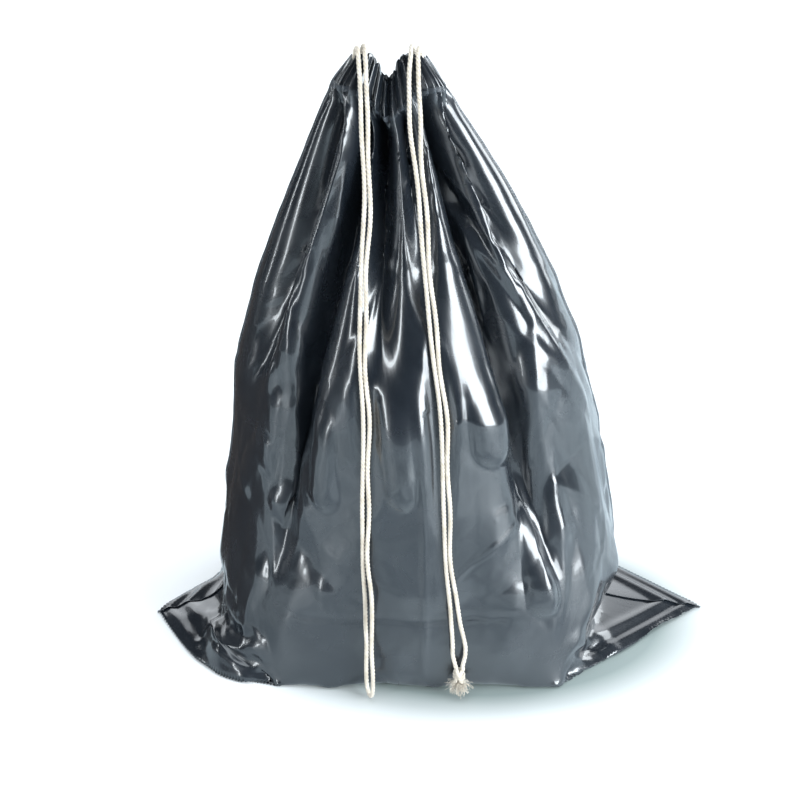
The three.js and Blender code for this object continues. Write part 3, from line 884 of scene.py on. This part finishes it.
# %% Handling marks
def make_handling_marks():
    tree, given, out = new_group("handling_marks", "ShaderNodeTree",
                                 [("Vector", "NodeSocketVector", None), ("Scale", "NodeSocketFloat", 20.0)],
                                 [("Mask", "NodeSocketFloat")])
    noise = add_node(tree, "ShaderNodeTexNoise", {"Vector": given["Vector"], "Scale": given["Scale"],
                                                  "Detail": 5.0, "Roughness": 0.6, "Distortion": 0.4})
    spread = add_node(tree, "ShaderNodeMapRange", {"Value": noise.outputs["Fac"], "From Min": 0.35,
                                                   "From Max": 0.7})
    tree.links.new(spread.outputs[0], out["Mask"])
    return tree


handling_marks = make_handling_marks()


# %% Film
def new_material(name, **settings):
    """A material with one Principled shader, whose own sockets hold the plain settings."""
    material = bpy.data.materials.new(name)
    material.use_nodes = True
    shader = material.node_tree.nodes["Principled BSDF"]
    for socket, value in settings.items():
        shader.inputs[socket.replace("_", " ")].default_value = value
    return material, material.node_tree, shader


def use_group(tree, group, inputs):
    node = add_node(tree, "ShaderNodeGroup", node_tree=group)
    for key, value in inputs.items():
        if isinstance(value, bpy.types.NodeSocket):
            tree.links.new(value, node.inputs[key])
        else:
            node.inputs[key].default_value = value
    return node


def film_finish(name, dark, light, gloss, dull, wrinkle_height, shine):
    material, tree, shader = new_material(name, IOR=1.5, Specular_IOR_Level=shine, Coat_Weight=0.5,
                                          Coat_Roughness=0.045)
    flat = add_node(tree, "ShaderNodeUVMap", uv_map="flat_film").outputs[0]
    marks = use_group(tree, handling_marks, {"Vector": flat, "Scale": 16.0}).outputs["Mask"]
    colour = add_node(tree, "ShaderNodeMix", {"Factor": marks}, data_type="RGBA")
    colour.inputs[6].default_value = (*dark, 1)
    colour.inputs[7].default_value = (*light, 1)
    tree.links.new(colour.outputs[2], shader.inputs["Base Color"])
    rough = add_node(tree, "ShaderNodeMapRange", {"Value": marks, "To Min": gloss, "To Max": dull})
    tree.links.new(rough.outputs[0], shader.inputs["Roughness"])
    long_folds = use_group(tree, fine_wrinkles, {"Vector": flat, "Width": 0.016, "Length": 0.075})
    short_folds = use_group(tree, fine_wrinkles, {"Vector": flat, "Width": 0.006, "Length": 0.013})
    small = add_node(tree, "ShaderNodeMath", {0: short_folds.outputs[0], 1: 0.12}, operation="MULTIPLY")
    height = add_node(tree, "ShaderNodeMath", {0: long_folds.outputs[0], 1: small.outputs[0]},
                      operation="ADD")
    bump = add_node(tree, "ShaderNodeBump", {"Height": height.outputs[0], "Distance": wrinkle_height,
                                             "Strength": 1.0})
    tree.links.new(bump.outputs[0], shader.inputs["Normal"])
    return material


FILM_DARK = (0.008, 0.011, 0.015)
FILM_LIGHT = (0.014, 0.018, 0.024)
film_material = film_finish("grey_film", FILM_DARK, FILM_LIGHT, 0.22, 0.32, 0.00025, 0.80)


# %% Welded film
# A heat seal is pressed between ribbed jaws, so the weld is duller and has fine ribs across it.
def weld_finish():
    material, tree, shader = new_material("film_weld", IOR=1.5, Specular_IOR_Level=0.7, Coat_Weight=0.2,
                                          Coat_Roughness=0.08)
    flat = add_node(tree, "ShaderNodeUVMap", uv_map="flat_film").outputs[0]
    marks = use_group(tree, handling_marks, {"Vector": flat, "Scale": 60.0}).outputs["Mask"]
    colour = add_node(tree, "ShaderNodeMix", {"Factor": marks}, data_type="RGBA")
    colour.inputs[6].default_value = (0.030, 0.036, 0.044, 1)
    colour.inputs[7].default_value = (0.060, 0.070, 0.082, 1)
    tree.links.new(colour.outputs[2], shader.inputs["Base Color"])
    rough = add_node(tree, "ShaderNodeMapRange", {"Value": marks, "To Min": 0.2, "To Max": 0.34})
    tree.links.new(rough.outputs[0], shader.inputs["Roughness"])
    ribs = add_node(tree, "ShaderNodeTexWave", {"Vector": flat, "Scale": 260.0}, wave_type="BANDS",
                    bands_direction="DIAGONAL")
    bump = add_node(tree, "ShaderNodeBump", {"Height": ribs.outputs["Fac"], "Distance": 0.00015})
    tree.links.new(bump.outputs[0], shader.inputs["Normal"])
    return material


weld_material = weld_finish()


# %% Cotton
def cotton_finish():
    material, tree, shader = new_material("cotton_cord", Sheen_Weight=0.35, Sheen_Roughness=0.5,
                                          Specular_IOR_Level=0.15)
    place = add_node(tree, "ShaderNodeTexCoord").outputs["Object"]
    fibres = add_node(tree, "ShaderNodeTexNoise", {"Vector": place, "Scale": 1500.0, "Detail": 4.0,
                                                   "Roughness": 0.65})
    marks = use_group(tree, handling_marks, {"Vector": place, "Scale": 90.0}).outputs["Mask"]
    colour = add_node(tree, "ShaderNodeMix", {"Factor": marks}, data_type="RGBA")
    colour.inputs[6].default_value = (0.66, 0.61, 0.53, 1)
    colour.inputs[7].default_value = (0.47, 0.41, 0.33, 1)
    tree.links.new(colour.outputs[2], shader.inputs["Base Color"])
    rough = add_node(tree, "ShaderNodeMapRange", {"Value": fibres.outputs["Fac"], "To Min": 0.8,
                                                  "To Max": 1.0})
    tree.links.new(rough.outputs[0], shader.inputs["Roughness"])
    bump = add_node(tree, "ShaderNodeBump", {"Height": fibres.outputs["Fac"], "Distance": 0.0002,
                                             "Strength": 0.6})
    tree.links.new(bump.outputs[0], shader.inputs["Normal"])
    return material


cotton_material = cotton_finish()

# %% [markdown]
# ## The film's two panels
#
# The front and the back are one film each on the flat bag, and they stay two pieces here. They meet in
# the side welds and in the bottom weld. Each is a single layer of faces with no thickness, which stands
# for film of a few hundredths of a millimetre.

# %% Front and back film
flat_film = flat_places(film)
film_pieces = {}
for side in ("front", "back"):
    chosen = side_columns(film, side)
    film_pieces[side] = sheet_from_grid(f"{side}_film", film[:, chosen], flat_film[:, chosen], film_material)
    print(side, "film:", len(film_pieces[side].data.polygons), "faces")

# %% [markdown]
# ## The hems
#
# Each hem is the top of the film, folded over to the inside and welded down, which leaves a sleeve for
# the cord. The folded-over part is a sheet of its own that starts at the mouth's edge and comes back to
# the film at the weld, with room for the cord between.

# %% Hem sleeves
HEM_DROP = 0.026
SLEEVE_ROOM = 0.44
hem_rows = round(HEM_DROP / FLAT_HEIGHT * (film.shape[0] - 1))


def hem_inside(side):
    chosen = side_columns(film, side)
    outside = film[::-1][:hem_rows + 1][:, chosen]
    share = np.linspace(0, 1, hem_rows + 1)[:, None]
    inset = 1 - SLEEVE_ROOM * np.sin(np.pi * np.minimum(share * 1.15, 0.93)) ** 0.6
    inside = outside.copy()
    inside[..., 0] = MOUTH_CENTRE + (outside[..., 0] - MOUTH_CENTRE) * inset
    inside[..., 1] = outside[..., 1] * inset
    return sheet_from_grid(f"{side}_hem_sleeve", inside, flat_film[::-1][:hem_rows + 1][:, chosen],
                           film_material)


hem_pieces = {side: hem_inside(side) for side in ("front", "back")}


# %% Hem welds
WELD_LIFT = 0.0002
hem_weld_rows = slice(film.shape[0] - 2 - hem_rows, film.shape[0] + 1 - hem_rows)


def hem_weld(side):
    chosen = side_columns(film, side)
    raised = push_out(film, np.full(film.shape[:2], WELD_LIFT))
    return sheet_from_grid(f"{side}_hem_seal", raised[hem_weld_rows][:, chosen],
                           flat_film[hem_weld_rows][:, chosen], weld_material)


hem_welds = {side: hem_weld(side) for side in ("front", "back")}

# %% [markdown]
# ## The side and bottom welds
#
# Outside a heat seal about two millimetres of film are left over, and they stick out as a narrow fin. It
# is turned backward on the flank, and forward low down, where the corner lies flat.

# %% Side welds
FIN_WIDTH = 0.0020
FIN_STEPS = 3
FIN_TURN = 1.6
WELD_THICKNESS = 0.0003


def fin(name, seam_column):
    seam = film[:, seam_column]
    out = film_normals(film)[:, seam_column]
    for _ in range(12):
        out[1:-1] = 0.25 * out[:-2] + 0.5 * out[1:-1] + 0.25 * out[2:]
    lying = 1 - smooth_step(0.010, 0.05, seam[:, 2])
    out[:, 1] += FIN_TURN * (1 - 2 * lying)
    out /= np.linalg.norm(out, axis=1, keepdims=True)
    wavy = 1 + 0.12 * np.sin(np.arange(len(seam)) * 0.45) * np.sin(np.arange(len(seam)) * 0.13)
    reach = np.linspace(0, FIN_WIDTH, FIN_STEPS + 1)[None, :, None] * wavy[:, None, None]
    points = seam[:, None] + out[:, None] * reach
    points[..., 2] = np.maximum(points[..., 2], FILM_LIFT)
    places = np.repeat(flat_film[:, seam_column][:, None], FIN_STEPS + 1, 1)
    places = places + np.linspace(0, FIN_WIDTH, FIN_STEPS + 1)[None, :, None] * np.array([1.0, 0.0])
    return sheet_from_grid(name, points, places, weld_material)


def thicken(piece, thickness):
    """Gives a sheet two faces and edges, because a weld is thicker than the film."""
    solidify = piece.modifiers.new("thickness", "SOLIDIFY")
    solidify.thickness = thickness
    solidify.offset = 0
    graph = bpy.context.evaluated_depsgraph_get()
    mesh = bpy.data.meshes.new_from_object(piece.evaluated_get(graph))
    piece.modifiers.clear()
    piece.data = mesh
    return piece


half_way = film.shape[1] // 2
left_fin = thicken(fin("left_side_seal", 0), WELD_THICKNESS)
right_fin = thicken(fin("right_side_seal", half_way), WELD_THICKNESS)


# %% Bottom weld
def bottom_seal():
    seam = film[0, :half_way + 1]
    across = np.array([-0.5, 0.0, 0.5]) * FIN_WIDTH
    points = np.repeat(seam[None], 3, 0)
    points[..., 1] += across[:, None]
    points[..., 2] = FILM_LIFT / 2
    places = np.repeat(flat_film[0, :half_way + 1][None], 3, 0)
    places[..., 1] += across[:, None]
    return sheet_from_grid("bottom_seal", points[::-1], places[::-1], weld_material)


bottom_fin = bottom_seal()

# %% [markdown]
# ## The cotton cord
#
# The cord is three plies twisted round each other. Geometry Nodes suit it well, because the same rule
# holds all along the path: move the path sideways by a small amount that turns as it goes, three times
# with a third of a turn between them, and sweep a circle along each. The path is a plain line of edges,
# so one tree serves every stretch of the cord and the knot.

# %% The twisted cord's tree
PLIES = 3
PLY_SIDES = 7
TWIST_LENGTH = 0.0085
PLY_OFFSET_SHARE = 0.262
PLY_RADIUS_SHARE = 0.248


def twisted_cord_tree():
    tree, given, out = new_group(
        "twisted_cord", "GeometryNodeTree",
        [("Path", "NodeSocketGeometry", None), ("Diameter", "NodeSocketFloat", CORD_DIAMETER),
         ("Twist Length", "NodeSocketFloat", TWIST_LENGTH), ("Step", "NodeSocketFloat", 0.0009),
         ("Cotton", "NodeSocketMaterial", None)],
        [("Cord", "NodeSocketGeometry")])
    curve = add_node(tree, "GeometryNodeMeshToCurve", {0: given["Path"]})
    even = add_node(tree, "GeometryNodeResampleCurve", {"Curve": curve.outputs[0], "Length": given["Step"]},
                    mode="LENGTH")
    upright = add_node(tree, "GeometryNodeSetCurveNormal", {"Curve": even.outputs[0]}, mode="MINIMUM_TWIST")
    along = add_node(tree, "GeometryNodeSplineParameter").outputs["Length"]
    turns = add_node(tree, "ShaderNodeMath", {0: along, 1: given["Twist Length"]}, operation="DIVIDE")
    normal = add_node(tree, "GeometryNodeInputNormal").outputs[0]
    tangent = add_node(tree, "GeometryNodeInputTangent").outputs[0]
    side = add_node(tree, "ShaderNodeVectorMath", {0: normal, 1: tangent}, operation="CROSS_PRODUCT")
    ply_offset = add_node(tree, "ShaderNodeMath", {0: given["Diameter"], 1: PLY_OFFSET_SHARE},
                          operation="MULTIPLY")
    ply_radius = add_node(tree, "ShaderNodeMath", {0: given["Diameter"], 1: PLY_RADIUS_SHARE},
                          operation="MULTIPLY")
    profile = add_node(tree, "GeometryNodeCurvePrimitiveCircle", {"Resolution": PLY_SIDES,
                                                                  "Radius": ply_radius.outputs[0]})
    joined = add_node(tree, "GeometryNodeJoinGeometry")
    for ply in range(PLIES):
        shifted = add_node(tree, "ShaderNodeMath", {0: turns.outputs[0], 1: ply / PLIES}, operation="ADD")
        angle = add_node(tree, "ShaderNodeMath", {0: shifted.outputs[0], 1: math.tau}, operation="MULTIPLY")
        parts = []
        for axis, operation in ((normal, "COSINE"), (side.outputs[0], "SINE")):
            share = add_node(tree, "ShaderNodeMath", {0: angle.outputs[0]}, operation=operation)
            parts.append(add_node(tree, "ShaderNodeVectorMath", {0: axis, "Scale": share.outputs[0]},
                                  operation="SCALE"))
        aside = add_node(tree, "ShaderNodeVectorMath", {0: parts[0].outputs[0], 1: parts[1].outputs[0]},
                         operation="ADD")
        offset = add_node(tree, "ShaderNodeVectorMath", {0: aside.outputs[0],
                                                         "Scale": ply_offset.outputs[0]}, operation="SCALE")
        moved = add_node(tree, "GeometryNodeSetPosition", {"Geometry": upright.outputs[0],
                                                           "Offset": offset.outputs[0]})
        swept = add_node(tree, "GeometryNodeCurveToMesh", {"Curve": moved.outputs[0],
                                                           "Profile Curve": profile.outputs[0],
                                                           "Fill Caps": True})
        tree.links.new(swept.outputs[0], joined.inputs[0])
    plain = add_node(tree, "GeometryNodeRealizeInstances", {0: joined.outputs[0]})
    finished = add_node(tree, "GeometryNodeSetMaterial", {"Geometry": plain.outputs[0],
                                                          "Material": given["Cotton"]})
    tree.links.new(finished.outputs[0], out["Cord"])
    return tree


cord_tree = twisted_cord_tree()


# %% Running a tree on a path
def line_object(name, lines):
    """An object of edges along each line."""
    mesh = bpy.data.meshes.new(name)
    points = np.concatenate(lines)
    edges, first = [], 0
    for line in lines:
        edges += [(first + k, first + k + 1) for k in range(len(line) - 1)]
        first += len(line)
    mesh.from_pydata(points.tolist(), edges, [])
    made = bpy.data.objects.new(name, mesh)
    bpy.context.collection.objects.link(made)
    return made


def run_tree(name, source, tree, **values):
    """Runs a Geometry Nodes tree on an object and keeps the result as a plain mesh."""
    modifier = source.modifiers.new(tree.name, "NODES")
    modifier.node_group = tree
    sockets = {item.name: item.identifier for item in tree.interface.items_tree if item.in_out == "INPUT"}
    for title, value in values.items():
        modifier[sockets[title.replace("_", " ")]] = value
    source.update_tag()
    graph = bpy.context.evaluated_depsgraph_get()
    mesh = bpy.data.meshes.new_from_object(source.evaluated_get(graph))
    mesh.name = name
    mesh.polygons.foreach_set("use_smooth", [True] * len(mesh.polygons))
    made = bpy.data.objects.new(name, mesh)
    bpy.context.collection.objects.link(made)
    bpy.data.objects.remove(source)
    print(name + ":", len(mesh.polygons), "faces")
    return made


def twisted_cord(name, lines):
    return run_tree(name, line_object(name + "_path", lines), cord_tree, Cotton=cotton_material)


# %% The hanging strands
left_loop = twisted_cord("left_loop_cord", [left_loop_line])
right_inner = twisted_cord("right_inner_cord", [right_inner_line])
right_outer = twisted_cord("right_outer_cord", [right_outer_line])

# %% The runs inside the hems
RUN_HEIGHT = 0.4035
RUN_INSET = 0.0085


def run_line(facing, leaving):
    """Out over the hem on the left, round inside the hem, and out over the hem on the right."""
    left_end = metres(leaving)
    azimuth = np.radians(np.linspace(150, 30, 9)) * facing
    x, y = outline_points(azimuth, RUN_HEIGHT)
    middle = outline_at(RUN_HEIGHT)[0]
    inset = 1 - RUN_INSET / np.hypot(x - middle, y)
    inside = np.stack([middle + (x - middle) * inset, y * inset, np.full(len(x), RUN_HEIGHT)], 1)
    inside = dip_mouth(inside)
    return smooth_line(np.concatenate([left_end[::-1], inside, across_mouth(left_end)]))


front_run_line = run_line(1, FRONT_RUN_EXIT)
back_run_line = run_line(-1, BACK_RUN_EXIT)
front_run = twisted_cord("front_hem_cord", [front_run_line])
back_run = twisted_cord("back_hem_cord", [back_run_line])
whole = [left_loop_line, right_inner_line, right_outer_line, front_run_line, back_run_line]
print(f"cord in all: {sum(line_length(line) for line in whole):.3f} m")

# %% [markdown]
# ## The knot and the frayed ends
#
# The two ends are tied together in one small knot. The one here only looks tied: two turns of the cord
# round the middle and two short passes over the front, like an overhand knot that is pulled tight. Below
# it the plies come undone into loose fibres, which a second tree makes.

# %% The knot
KNOT_CENTRE = np.array([0.018, -0.1125, 0.018])
KNOT_TURN = 0.0029


def knot_lines():
    angle = np.linspace(0.3, 0.3 + 2.15 * math.tau, 60)
    wrap = np.stack([KNOT_TURN * np.cos(angle), KNOT_TURN * np.sin(angle),
                     np.linspace(0.0027, -0.0027, 60)], 1)
    passes = [[(-2.4, 0.2, 6.4), (-1.6, -2.6, 4.6), (0.4, -4.6, 0.6), (1.6, -3.0, -3.6), (3.0, -1.2, -5.6)],
              [(2.4, 0.2, 6.4), (2.2, -1.6, 4.2), (0.2, -3.4, 3.0), (-2.2, -3.2, -2.6), (-3.2, -1.2, -5.6)]]
    return [KNOT_CENTRE + wrap] + [smooth_line(KNOT_CENTRE + metres(line), 0.0006) for line in passes]


knot = twisted_cord("cord_knot_tied", knot_lines())


# %% The frayed ends' tree
def frayed_end_tree():
    tree, given, out = new_group(
        "frayed_end", "GeometryNodeTree",
        [("Geometry", "NodeSocketGeometry", None), ("Start", "NodeSocketVector", None),
         ("Direction", "NodeSocketVector", None), ("Fibres", "NodeSocketInt", 110),
         ("Length", "NodeSocketFloat", 0.0098), ("Spread", "NodeSocketFloat", 0.62),
         ("Bundle Radius", "NodeSocketFloat", 0.0011), ("Fibre Radius", "NodeSocketFloat", 0.00013),
         ("Seed", "NodeSocketInt", 1), ("Cotton", "NodeSocketMaterial", None)],
        [("Fibres", "NodeSocketGeometry")])

    def random_vector(seed_step):
        seed = add_node(tree, "ShaderNodeMath", {0: given["Seed"], 1: float(seed_step)}, operation="ADD")
        node = add_node(tree, "FunctionNodeRandomValue", {"Seed": seed.outputs[0]}, data_type="FLOAT_VECTOR")
        node.inputs["Min"].default_value = (-1, -1, -1)
        node.inputs["Max"].default_value = (1, 1, 1)
        return node.outputs[0]

    apart = add_node(tree, "ShaderNodeVectorMath", {0: random_vector(0), "Scale": given["Bundle Radius"]},
                     operation="SCALE")
    start = add_node(tree, "ShaderNodeVectorMath", {0: given["Start"], 1: apart.outputs[0]}, operation="ADD")
    points = add_node(tree, "GeometryNodePoints", {"Count": given["Fibres"], "Position": start.outputs[0]})
    lean = add_node(tree, "ShaderNodeVectorMath", {0: random_vector(10), "Scale": given["Spread"]},
                    operation="SCALE")
    aim = add_node(tree, "ShaderNodeVectorMath", {0: given["Direction"], 1: lean.outputs[0]},
                   operation="ADD")
    turn = add_node(tree, "FunctionNodeAlignRotationToVector", {"Vector": aim.outputs[0]}, axis="Z")
    seed = add_node(tree, "ShaderNodeMath", {0: given["Seed"], 1: 20.0}, operation="ADD")
    lengths = add_node(tree, "FunctionNodeRandomValue", {"Seed": seed.outputs[0]}, data_type="FLOAT")
    lengths.inputs[2].default_value = 0.55
    lengths.inputs[3].default_value = 1.1
    end = add_node(tree, "ShaderNodeCombineXYZ", {"Z": given["Length"]})
    fibre = add_node(tree, "GeometryNodeCurvePrimitiveLine", {"End": end.outputs[0]})
    bendable = add_node(tree, "GeometryNodeResampleCurve", {"Curve": fibre.outputs[0], "Count": 8})
    placed = add_node(tree, "GeometryNodeInstanceOnPoints",
                      {"Points": points.outputs[0], "Instance": bendable.outputs[0],
                       "Rotation": turn.outputs[0], "Scale": lengths.outputs[1]})
    real = add_node(tree, "GeometryNodeRealizeInstances", {0: placed.outputs[0]})
    noise = add_node(tree, "ShaderNodeTexNoise", {"Scale": 330.0, "Detail": 1.0})
    centred = add_node(tree, "ShaderNodeVectorMath", {0: noise.outputs["Color"], 1: (0.5, 0.5, 0.5)},
                       operation="SUBTRACT")
    share = add_node(tree, "GeometryNodeSplineParameter").outputs["Factor"]
    curl = add_node(tree, "ShaderNodeMath", {0: share, 1: 0.006}, operation="MULTIPLY")
    offset = add_node(tree, "ShaderNodeVectorMath", {0: centred.outputs[0], "Scale": curl.outputs[0]},
                      operation="SCALE")
    curled = add_node(tree, "GeometryNodeSetPosition", {"Geometry": real.outputs[0],
                                                        "Offset": offset.outputs[0]})
    profile = add_node(tree, "GeometryNodeCurvePrimitiveCircle", {"Resolution": 4,
                                                                  "Radius": given["Fibre Radius"]})
    swept = add_node(tree, "GeometryNodeCurveToMesh", {"Curve": curled.outputs[0],
                                                       "Profile Curve": profile.outputs[0],
                                                       "Fill Caps": True})
    finished = add_node(tree, "GeometryNodeSetMaterial", {"Geometry": swept.outputs[0],
                                                          "Material": given["Cotton"]})
    tree.links.new(finished.outputs[0], out["Fibres"])
    return tree


frayed_tree = frayed_end_tree()


# %% The frayed ends
def frayed_end(name, start, direction, seed):
    source = line_object(name + "_start", [np.zeros((2, 3))])
    return run_tree(name, source, frayed_tree, Start=tuple(start), Direction=direction, Seed=seed,
                    Cotton=cotton_material)


left_fray = frayed_end("left_fray", metres([17.0, -113.8, 14.6]), (-0.16, -0.22, -0.8), 3)
right_fray = frayed_end("right_fray", metres([19.2, -113.6, 14.6]), (0.24, -0.18, -0.8), 8)

# %% [markdown]
# ## What each piece stands for
#
# The measured parts that each piece stands for are hidden, and each piece is tied to the body that it moves
# with, except the three hanging strands, which are tied to no body.

# %% Film and welds
REPLACED = {
    "front": ("front_panel", "left_front_corner", "right_front_corner"),
    "back": ("back_panel", "left_back_corner", "right_back_corner"),
}
for side, facing in (("front", 1), ("back", -1)):
    for piece, nodes, slot in ((film_pieces[side], REPLACED[side], "film"),
                               (hem_pieces[side], (f"{side}_hem",), "film"),
                               (hem_welds[side], (f"{side}_hem_weld",), "weld")):
        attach(piece, "bag")
        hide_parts(*nodes)
for piece, node in ((left_fin, "left_side_weld"), (right_fin, "right_side_weld"),
                    (bottom_fin, "bottom_weld")):
    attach(piece, "bag")
    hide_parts(node)

# %% Cords
# The hanging strands are tied to no body and stay where they were made; the other cords move with theirs.
for piece, body, nodes in (
        (front_run, "bag", ("cord_front_run",)), (back_run, "bag", ("cord_back_run",)),
        (left_loop, "left_loop", ("left_cord_outer_strand", "left_cord_inner_strand", "left_cord_bight")),
        (right_inner, "right_pair", ("right_cord_inner_strand",)),
        (right_outer, "right_pair", ("right_cord_outer_strand",)),
        (knot, "right_pair", ("cord_knot",)),
        (left_fray, "right_pair", ("left_frayed_end",)), (right_fray, "right_pair", ("right_frayed_end",))):
    if piece in (left_loop, right_inner, right_outer):
        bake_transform(piece)
    else:
        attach(piece, body)
    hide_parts(*nodes)


# %% [markdown]
# ## Floor and light
#
# The bag stands on a white floor. Glossy film shows whatever is around it, so the lights are shaped
# for what they look like in the film: a large bright window on the right, narrow strips on the left,
# and dimness between, which leaves the valleys dark.

# %% The floor
# To the eye it is white, with a grey-green shade coloured into it close to the bag, on top of the shadow
# that the lights cast. In the film it shows as patches of light and shade, like those of a real room.
FLOOR_HALF = 1.7
FLOOR_WHITE = (0.88, 0.89, 0.89)
FLOOR_SHADE = (0.27, 0.32, 0.31)
MIRRORED_DARK = (0.38, 0.44, 0.48)
MIRRORED_LIGHT = (0.86, 0.96, 1.0)
SHADE_START = 0.105
SHADE_END = 0.150


def mixed_colour(tree, share, first, second):
    mix = add_node(tree, "ShaderNodeMix", {"Factor": share}, data_type="RGBA")
    for socket, colour in ((mix.inputs[6], first), (mix.inputs[7], second)):
        if isinstance(colour, tuple):
            socket.default_value = (*colour, 1)
        else:
            tree.links.new(colour, socket)
    return mix.outputs[2]


def make_floor():
    mesh = bpy.data.meshes.new("floor")
    corners = [(x * FLOOR_HALF, y * FLOOR_HALF, 0) for x, y in ((-1, -1), (1, -1), (1, 1), (-1, 1))]
    mesh.from_pydata(corners, [], [(0, 1, 2, 3)])
    floor = bpy.data.objects.new("floor", mesh)
    bpy.context.collection.objects.link(floor)
    material, tree, shader = new_material("white_floor", Roughness=0.6, Specular_IOR_Level=0.3)
    mirrored = add_node(tree, "ShaderNodeLightPath").outputs["Is Glossy Ray"]
    place = add_node(tree, "ShaderNodeTexCoord").outputs["Object"]
    patches = add_node(tree, "ShaderNodeTexNoise", {"Vector": place, "Scale": 5.5, "Detail": 2.0,
                                                    "Roughness": 0.5, "Distortion": 0.8})
    lit = add_node(tree, "ShaderNodeMapRange", {"Value": patches.outputs["Fac"], "From Min": 0.36,
                                                "From Max": 0.60})
    room = mixed_colour(tree, lit.outputs[0], MIRRORED_DARK, MIRRORED_LIGHT)
    from_bag = add_node(tree, "ShaderNodeVectorMath", {0: place, 1: (-0.03, 0.02, 0)}, operation="ADD")
    stretched = add_node(tree, "ShaderNodeVectorMath", {0: from_bag.outputs[0], 1: (0.8, 1.15, 0)},
                         operation="MULTIPLY")
    distance = add_node(tree, "ShaderNodeVectorMath", {0: stretched.outputs[0]}, operation="LENGTH")
    clear_of_bag = add_node(tree, "ShaderNodeMapRange", {"Value": distance.outputs["Value"],
                                                         "From Min": SHADE_START, "From Max": SHADE_END})
    near_bag = mixed_colour(tree, clear_of_bag.outputs[0], FLOOR_SHADE, FLOOR_WHITE)
    colour = mixed_colour(tree, mirrored, near_bag, room)
    tree.links.new(colour, shader.inputs["Base Color"])
    mesh.materials.append(material)


make_floor()


# %% The lights
def area_light(name, place, aim, size, watts, colour=(1, 1, 1)):
    light = bpy.data.lights.new(name, "AREA")
    light.shape = "RECTANGLE"
    light.size, light.size_y = size
    light.energy = watts
    light.color = colour
    made = bpy.data.objects.new(name, light)
    made.location = place
    made.rotation_euler = (Vector(aim) - Vector(place)).to_track_quat("-Z", "Y").to_euler()
    bpy.context.collection.objects.link(made)


area_light("right_window", (2.0, -1.5, 0.85), (0, 0, 0.25), (1.6, 1.4), 118, (0.88, 0.95, 1.0))
area_light("right_back_window", (1.9, 1.3, 0.8), (0, 0, 0.25), (1.2, 1.2), 30, (0.9, 0.96, 1.0))
area_light("ceiling", (0.0, -0.3, 2.4), (0, 0, 0.2), (1.8, 1.2), 20, (0.86, 0.94, 1.0))
area_light("left_strip", (-1.5, -1.7, 0.8), (0, 0, 0.25), (0.22, 1.4), 18, (0.9, 0.96, 1.0))
area_light("left_side_strip", (-2.3, 0.1, 0.8), (0, 0, 0.25), (0.12, 1.3), 9, (0.9, 0.96, 1.0))
area_light("back_wall", (0, 3.0, 1.3), (0, 0, 0.3), (5.0, 2.6), 80, (0.9, 0.95, 1.0))


# %% A dark card of painted shade
# The left flank of the bag looks dark. A dark card on the floor, which only reflections can see, is what
# makes it so. People lay black card beside glossy objects for the same reason. Here the card is painted
# shade: in the film it stands for the bag's own shadow on the floor to its left.
# painted shade: the dark colour that the film mirrors in place of the shadowed floor
PAINTED_SHADE_COLOUR = (0.052, 0.043, 0.039)


def painted_shade_card(name, corners):
    mesh = bpy.data.meshes.new(name)
    mesh.from_pydata(corners, [], [(0, 1, 2, 3)])
    card = bpy.data.objects.new(name, mesh)
    bpy.context.collection.objects.link(card)
    material, _, shader = new_material(name, Roughness=0.9, Specular_IOR_Level=0.1)
    shader.inputs["Base Color"].default_value = (*PAINTED_SHADE_COLOUR, 1)
    mesh.materials.append(material)
    card.visible_camera = False
    card.visible_diffuse = False
    card.visible_shadow = False


# painted shade on the floor to the left of the bag and behind it, seen only in reflections
painted_shade_card("shade_card", [(-1.6, -0.34, 0.001), (-0.2, -0.05, 0.001), (-0.2, 1.6, 0.001), (-1.6, 1.6, 0.001)])


# %% The room's own light
# The background is white where it is looked at, but dim where it would be mirrored in the film.
def make_room_light():
    world = bpy.data.worlds.new("room")
    bpy.context.scene.world = world
    world.use_nodes = True
    tree = world.node_tree
    tree.nodes.clear()
    seen = add_node(tree, "ShaderNodeLightPath").outputs
    shades = [add_node(tree, "ShaderNodeBackground", {"Color": (*colour, 1), "Strength": strength})
              for colour, strength in (((0.9, 0.95, 1), 0.65), ((0.5, 0.53, 0.58), 0.045), ((1, 1, 1), 1.0))]
    mirrored = add_node(tree, "ShaderNodeMixShader", {0: seen["Is Glossy Ray"], 1: shades[0].outputs[0],
                                                      2: shades[1].outputs[0]})
    looked_at = add_node(tree, "ShaderNodeMixShader", {0: seen["Is Camera Ray"], 1: mirrored.outputs[0],
                                                       2: shades[2].outputs[0]})
    add_node(tree, "ShaderNodeOutputWorld", {"Surface": looked_at.outputs[0]})


make_room_light()
bpy.context.scene.view_settings.view_transform = "Standard"
